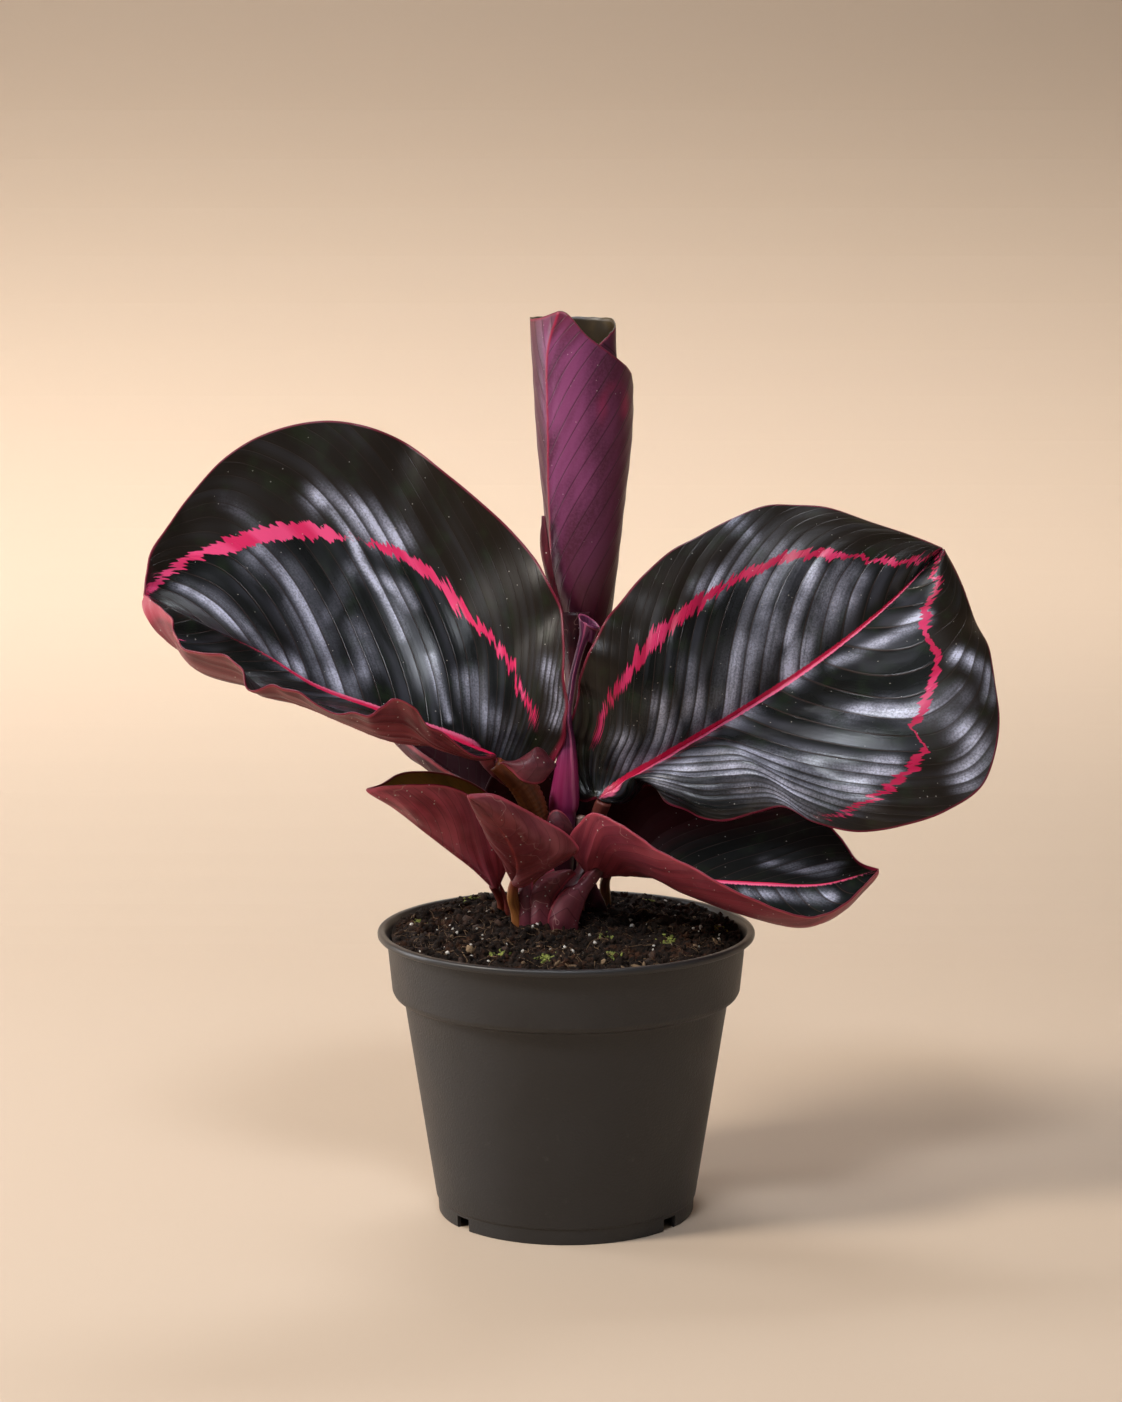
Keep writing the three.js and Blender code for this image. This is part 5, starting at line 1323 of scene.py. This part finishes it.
peat = {
    "edge": 90.0, "heap": 4.5, "tilt": 1.2, "lump": 0.8,    # mm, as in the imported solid
    "radius": 55.6, "rings": 190, "sides": 420,
    "coarse": 1.3, "medium": 0.8, "fine": 0.35,             # mm of height at cells of 7, 3 and 1.1 mm
    "crumbs": 5200, "crumbSize": (0.35, 1.9),
    "clods": 46, "clodSize": (1.4, 2.8),
    "perlite": 150, "perliteSize": (0.22, 0.8),
    "chips": 50, "chipSize": (0.5, 1.5),
    "fibres": 480, "fibreLength": (3.0, 12.0),
    "mossPlaces": [(-20.7, -32.9), (-5.9, -40), (11.9, -19.4), (30.6, -19.7), (48.9, 1.8), (14.6, -40.2),
                   (-46, 8), (26, 30), (-30, 36)],
    "mossReach": 55.0, "mossSpread": 1.6, "mossTufts": 60,
    "chipPlaces": [(22.1, -47.1), (2.4, -49.5), (-2.8, -49.4), (-29.9, -32.8)], "placedChip": 2.1,
    "dark": (0.0026, 0.0016, 0.0011), "light": (0.02, 0.01, 0.0056), "reddish": (0.056, 0.021, 0.009),
    "fleck": (0.17, 0.105, 0.055),
}
grainTones = {      # dark and light tone, and how many times a metre they alternate
    "clodFibre": ((0.01, 0.006, 0.004), (0.062, 0.028, 0.015), 420.0),
    "perlite": ((0.42, 0.39, 0.34), (0.78, 0.75, 0.7), 800.0),
    "barkChip": ((0.07, 0.04, 0.02), (0.27, 0.18, 0.1), 350.0),
    "moss": ((0.06, 0.09, 0.012), (0.33, 0.37, 0.075), 700.0),
    "rootFibre": ((0.045, 0.023, 0.011), (0.2, 0.12, 0.06), 260.0),
}


def peatHeight(x, y):
    # edge + heap (1 - r^2) + tilt y/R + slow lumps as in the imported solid, then three finer layers of lumps
    r2 = (x * x + y * y) / pot["rim"] ** 2
    slow = np.sin(x * 0.41 + 1.3) * np.cos(y * 0.37 - 0.6) + 0.5 * np.sin(x * 0.83 - y * 0.71)
    base = peat["edge"] + peat["heap"] * (1 - r2) + peat["tilt"] * y / pot["rim"]
    base = base + peat["lump"] * slow * (1 - 0.6 * r2)
    detail = peat["coarse"] * lumps(x, y, 7.0, 101) + peat["medium"] * lumps(x, y, 3.0, 102)
    detail += peat["fine"] * lumps(x, y, 1.1, 103)
    return base + detail * (1 - 0.5 * smoothStep(r2, 0.7, 0.86)) - 0.5


def peatMaterial():
    # near-black brown crumbs with reddish and paler grains
    material, sketch, shader = newMaterial("peatMix", Roughness=0.95, Specular_IOR_Level=0.25)
    place = sketch.objectPlace()
    grain = sketch.noise(place, 900.0, 4.0, 0.65)
    patches = sketch.noise(place, 170.0, 3.0, 0.6)
    base = sketch.blend(sketch.band(grain, 0.35, 0.65), peat["dark"], peat["light"])
    base = sketch.blend(sketch.times(sketch.band(patches, 0.52, 0.68), 0.7), base, peat["reddish"])
    flecks = useGroup(sketch, "dustSpecks", Scale=520.0, Size=0.16, Share=0.9)["Mask"]
    base = sketch.blend(sketch.times(flecks, 0.8), base, peat["fleck"])
    sketch.feed(shader["Base Color"], base)
    relief = sketch.plus(grain, sketch.noise(place, 2600.0, 2.0))
    sketch.feed(shader["Normal"], sketch.bump(relief, 0.0006, 0.8))
    return material


def grainMaterial(name):
    # dark to light by a coarse noise and one seven times as fine, which also gives the relief
    dark, light, scale = grainTones[name]
    material, sketch, shader = newMaterial(name, Roughness=0.85)
    place = sketch.objectPlace()
    tone = sketch.noise(place, scale, 3.0, 0.6)
    fine = sketch.noise(place, scale * 7, 3.0, 0.65)
    mixed = sketch.plus(sketch.times(tone, 0.6), sketch.times(fine, 0.4))
    sketch.feed(shader["Base Color"], sketch.blend(sketch.band(mixed, 0.38, 0.62), dark, light))
    sketch.feed(shader["Normal"], sketch.bump(fine, 0.0004, 0.7))
    return material


golden = (1 + 5 ** 0.5) / 2
grainPoints = np.array([
    (-1, golden, 0), (1, golden, 0), (-1, -golden, 0), (1, -golden, 0), (0, -1, golden), (0, 1, golden),
    (0, -1, -golden), (0, 1, -golden), (golden, 0, -1), (golden, 0, 1), (-golden, 0, -1), (-golden, 0, 1),
], float) / math.hypot(1, golden)
grainFaces = np.array([
    (0, 11, 5), (0, 5, 1), (0, 1, 7), (0, 7, 10), (0, 10, 11), (1, 5, 9), (5, 11, 4), (11, 10, 2),
    (10, 7, 6), (7, 1, 8), (3, 9, 4), (3, 4, 2), (3, 2, 6), (3, 6, 8), (3, 8, 9), (4, 9, 5), (2, 4, 11),
    (6, 2, 10), (8, 6, 7), (9, 8, 1)])


def spunAxes(draw, count):
    # random rotations from unit quaternions
    q = draw.normal(size=(count, 4))
    w, x, y, z = (q / np.linalg.norm(q, axis=1, keepdims=True)).T
    axes = np.array([[1 - 2 * (y * y + z * z), 2 * (x * y - z * w), 2 * (x * z + y * w)],
                     [2 * (x * y + z * w), 1 - 2 * (x * x + z * z), 2 * (y * z - x * w)],
                     [2 * (x * z - y * w), 2 * (y * z + x * w), 1 - 2 * (x * x + y * y)]])
    return axes.transpose(2, 0, 1)


def grainPiece(name, places, sizes, shape, seed, material, rough=0.28):
    # each grain = a twenty-faced ball, its corners pushed in and out, stretched by shape, turned and moved
    # to its place
    draw = np.random.default_rng(seed)
    count = len(places)
    points = grainPoints * (1 + rough * draw.uniform(-1, 1, (count, 12, 1)))
    stretch = np.asarray(shape) * draw.uniform(0.75, 1.3, (count, 3))
    points = points * stretch[:, None] * np.asarray(sizes)[:, None, None]
    points = np.einsum("nij,nkj->nki", spunAxes(draw, count), points) + places[:, None]
    faces = (grainFaces[None] + 12 * np.arange(count)[:, None, None]).reshape(-1, 3)
    joinPiece(meshPiece(name, points.reshape(-1, 3), [], faces, [material]), "peat")


def onPeat(draw, count, reach=1.0, lift=0.0):
    # places spread evenly over the peat, on its surface
    radius = peat["radius"] * reach * np.sqrt(draw.uniform(0, 1, count))
    angle = draw.uniform(0, 2 * np.pi, count)
    x, y = radius * np.cos(angle), radius * np.sin(angle)
    return np.stack([x, y, peatHeight(x, y) + lift], 1)


def peatBed(material):
    # from the middle of the underside out, up the pot's wall, and over the heap back to the middle
    p = pot
    gap = p["wall"] + 0.3
    floor = p["floorTop"] + 0.3
    wallPoints = [(0.5, floor), (20, floor), (p["foot"] - gap + 0.5, floor),
                  (p["bodyTop"] - gap, p["bodyHeight"] + 1),
                  (p["collarLow"] - gap, p["collarBottom"] + 1.4)]
    angle = -np.linspace(0, 2 * np.pi, peat["sides"], endpoint=False)[None, :]
    radius = peat["radius"] * np.linspace(1, 0.004, peat["rings"])[:, None]
    x, y = radius * np.cos(angle), radius * np.sin(angle)
    top = np.stack([x, y, peatHeight(x, y)], -1)
    around = angle[0]
    low = np.array([np.stack([r * np.cos(around), r * np.sin(around), 0 * around + z], -1)
                    for r, z in wallPoints])
    piece = closedTube("peatBed", np.concatenate([low, top]), [material])
    joinPiece(piece, "peat", "soil")


def strandPiece(name, count, seed, material):
    # fine roots: centre line = start + heading s L + bend s (1-s), section of four corners that narrows to
    # both ends
    draw = np.random.default_rng(seed)
    start = onPeat(draw, count, 0.93)
    length = draw.uniform(*peat["fibreLength"], count)
    heading = draw.uniform(0, 2 * np.pi, count)
    bend = draw.normal(0, 0.35, (count, 2)) * length[:, None]
    s = np.linspace(0, 1, 9)
    straight = (s - 0.5) * length[:, None]
    aside = s * (1 - s) * 2 * bend[:, :1] + 0.25 * np.sin(s * 9 + heading[:, None])
    x = start[:, :1] + straight * np.cos(heading)[:, None] - aside * np.sin(heading)[:, None]
    y = start[:, 1:2] + straight * np.sin(heading)[:, None] + aside * np.cos(heading)[:, None]
    shrink = np.minimum(1, (peat["radius"] - 0.8) / np.hypot(x, y))
    x, y = x * shrink, y * shrink
    z = peatHeight(x, y) + 0.15 + 0.45 * np.abs(np.sin(s * 7 + heading[:, None] * 3))
    z = np.minimum(z, start[:, 2:] + 2.2)
    size = draw.uniform(0.06, 0.16, (count, 1)) * (0.35 + 0.65 * np.sin(np.pi * (0.08 + 0.84 * s)))
    turn = -np.arange(4) * np.pi / 2
    across = np.stack([-np.sin(heading), np.cos(heading), 0 * heading], -1)
    rings = np.stack([x, y, z], -1)[:, :, None] + size[:, :, None, None] * (
        across[:, None, None] * np.cos(turn)[None, None, :, None]
        + np.array([0, 0, 1.0]) * np.sin(turn)[None, None, :, None])
    rows = len(s)
    i, j = np.meshgrid(np.arange(rows - 1), np.arange(4), indexing="ij")
    k = (j + 1) % 4
    quads = np.stack([i * 4 + j, (i + 1) * 4 + j, (i + 1) * 4 + k, i * 4 + k], -1).reshape(-1, 4)
    ends = np.array([[0, 1, 2, 3], [4 * rows - 1, 4 * rows - 2, 4 * rows - 3, 4 * rows - 4]])
    quads = np.concatenate([quads, ends])
    quads = (quads[None] + 4 * rows * np.arange(count)[:, None, None]).reshape(-1, 4)
    joinPiece(meshPiece(name, rings.reshape(-1, 3), quads, [], [material]), "peat")


def potting():
    # the peat's bed, then crumbs, clods, perlite, bark chips, moss and root fibres strewn over it
    draw = np.random.default_rng(7)
    soilLook = peatMaterial()
    peatBed(soilLook)
    small, large = peat["crumbSize"]
    sizes = small + (large - small) * draw.uniform(0, 1, peat["crumbs"]) ** 2.6
    grainPiece("peatCrumbs", onPeat(draw, peat["crumbs"], 0.985, 0.15), sizes, (1.0, 0.75, 0.5), 8,
               soilLook, 0.42)
    places = onPeat(draw, peat["clods"], 0.93, -0.4)
    sizes = draw.uniform(*peat["clodSize"], peat["clods"])
    grainPiece("peatClods", places, sizes, (1.0, 0.8, 0.6), 9, grainMaterial("clodFibre"))
    places = onPeat(draw, peat["perlite"], 0.96, 0.45)
    sizes = draw.uniform(*peat["perliteSize"], peat["perlite"])
    grainPiece("perlite", places, sizes, (1, 0.9, 0.8), 10, grainMaterial("perlite"))
    places = onPeat(draw, peat["chips"], 0.95, 0.45)
    chosen = np.array(peat["chipPlaces"])
    places[:len(chosen), :2] = chosen
    places[:len(chosen), 2] = peatHeight(chosen[:, 0], chosen[:, 1]) + 0.5
    sizes = draw.uniform(*peat["chipSize"], peat["chips"])
    sizes[:len(chosen)] = peat["placedChip"]
    grainPiece("barkChips", places, sizes, (1.2, 0.6, 0.25), 11, grainMaterial("barkChip"))
    spread = np.repeat(np.array(peat["mossPlaces"]), peat["mossTufts"], axis=0)
    spread = spread + draw.normal(0, peat["mossSpread"], spread.shape)
    spread = spread * np.minimum(1, peat["mossReach"] / np.hypot(spread[:, 0], spread[:, 1]))[:, None]
    mossAt = np.column_stack([spread, peatHeight(spread[:, 0], spread[:, 1]) + 0.35])
    grainPiece("mossTufts", mossAt, draw.uniform(0.3, 0.85, len(mossAt)), (1, 0.8, 0.55), 12,
               grainMaterial("moss"))
    strandPiece("rootFibres", peat["fibres"], 13, grainMaterial("rootFibre"))


potting()
print("stage: peat made")


# Floor, backdrop and light

studio = {
    # the wall's glow is painted light, brightening the wall beyond what the lamps give
    "floorTone": (0.55, 0.435, 0.33), "wallTone": (0.66, 0.515, 0.385), "paintedWallGlow": 0.15,
    "wallDistance": 0.75,       # m behind the pot
    "wallTop": 5.0, "halfWidth": 6,     # m
    "wallCurve": 0.4,           # m, radius of the bend between floor and wall
    "wallRise": (0.0, 0.14),    # heights in m between which the floor's tone turns into the wall's
    # painted shade: the backdrop darkens towards the top
    "paintedWallShade": (0.12, 0.47, 0.46),     # heights in m between which the backdrop darkens, and to what share
    "world": 0.12, "worldTone": (1.0, 0.93, 0.86, 1),
}
lights = {          # place and aim in m, width and height in m, watts, tone
    "keyLight": ((-1.55, -0.75, 1.65), (0, 0, 0.14), (0.5, 0.5), 43.0, (1.0, 0.93, 0.84)),
    "frontLight": ((-0.1, -0.75, 1.25), (0, 0, 0.17), (0.34, 0.22), 8.0, (0.86, 0.91, 1.0)),
    "backLight": ((-0.06, 0.5, 0.95), (-0.06, 0, 0.18), (0.4, 0.2), 3.6, (0.88, 0.93, 1.0)),
    "sideLight": ((-0.85, 0.18, 0.3), (0, 0, 0.08), (0.3, 0.6), 4.0, (0.95, 0.96, 1.0)),
    "fillLight": ((1.5, -1.0, 0.7), (0, 0, 0.13), (1.0, 1.0), 1.4, (1.0, 0.92, 0.85)),
}


def stageSheet(name, corners, faces, material):
    mesh = bpy.data.meshes.new(name)
    mesh.from_pydata(corners, [], faces)
    mesh.materials.append(material)
    sheet = bpy.data.objects.new(name, mesh)
    bpy.context.scene.collection.objects.link(sheet)


def paperMaterial(name, s):
    # the floor's tone, blended into the wall's above it, darker again near the top as painted shade, and
    # glowing on the wall as painted light
    material, sketch, shader = newMaterial(name, Roughness=0.85)
    height = sketch.add("ShaderNodeSeparateXYZ", {"Vector": sketch.objectPlace()}).outputs["Z"]
    rising = sketch.band(height, *s["wallRise"])
    low, high, share = s["paintedWallShade"]
    base = sketch.blend(rising, s["floorTone"], s["wallTone"])
    # painted shade towards the top
    base = sketch.blend(sketch.band(height, low, high), base, shade(s["wallTone"], share))
    sketch.feed(shader["Base Color"], base)
    # painted light: the wall glows with its own tone
    sketch.feed(shader["Emission Color"], base)
    sketch.feed(shader["Emission Strength"], sketch.times(rising, s["paintedWallGlow"]))
    return material, sketch, shader


def backdropMaterial(s):
    # seen from behind, the backdrop is clear, so that the plant shows
    material, sketch, _ = paperMaterial("backdropPaper", s)
    output = sketch.tree.nodes["Material Output"]
    painted = output.inputs["Surface"].links[0].from_socket
    clear = sketch.add("ShaderNodeBsdfTransparent").outputs[0]
    behind = sketch.add("ShaderNodeNewGeometry").outputs["Backfacing"]
    mixed = sketch.add("ShaderNodeMixShader", {0: behind, 1: painted, 2: clear})
    sketch.feed(output.inputs["Surface"], mixed.outputs[0])
    return material


def softLight(name, place, aim, size, power, tone):
    data = bpy.data.lights.new(name, "AREA")
    data.shape = "RECTANGLE"
    data.size, data.size_y = size
    data.energy = power
    data.color = tone
    light = bpy.data.objects.new(name, data)
    light.location = place
    light.rotation_euler = (Vector(aim) - Vector(place)).to_track_quat("-Z", "Y").to_euler()
    bpy.context.scene.collection.objects.link(light)


def buildStudio(s):
    wide = s["halfWidth"]
    corners = [(-wide, -wide, 0), (wide, -wide, 0), (wide, wide, 0), (-wide, wide, 0)]
    stageSheet("floor", corners, [(0, 1, 2, 3)], paperMaterial("floorPaper", s)[0])
    # the backdrop leaves the floor in a quarter circle: y = far - r + r sin(a), z = r - r cos(a)
    far, radius = s["wallDistance"], s["wallCurve"]
    turn = np.linspace(0, np.pi / 2, 25)
    rows = [(far - radius + radius * math.sin(a), radius - radius * math.cos(a)) for a in turn]
    rows.append((far, s["wallTop"]))
    corners = [(x, y, z) for y, z in rows for x in (-wide, wide)]
    faces = [(2 * i, 2 * i + 1, 2 * i + 3, 2 * i + 2) for i in range(len(rows) - 1)]
    stageSheet("backdrop", corners, faces, backdropMaterial(s))
    for name, values in lights.items():
        softLight(name, *values)
    world = bpy.data.worlds.new("studioWorld")
    bpy.context.scene.world = world
    world.use_nodes = True
    background = world.node_tree.nodes["Background"]
    background.inputs["Color"].default_value = s["worldTone"]
    background.inputs["Strength"].default_value = s["world"]


buildStudio(studio)
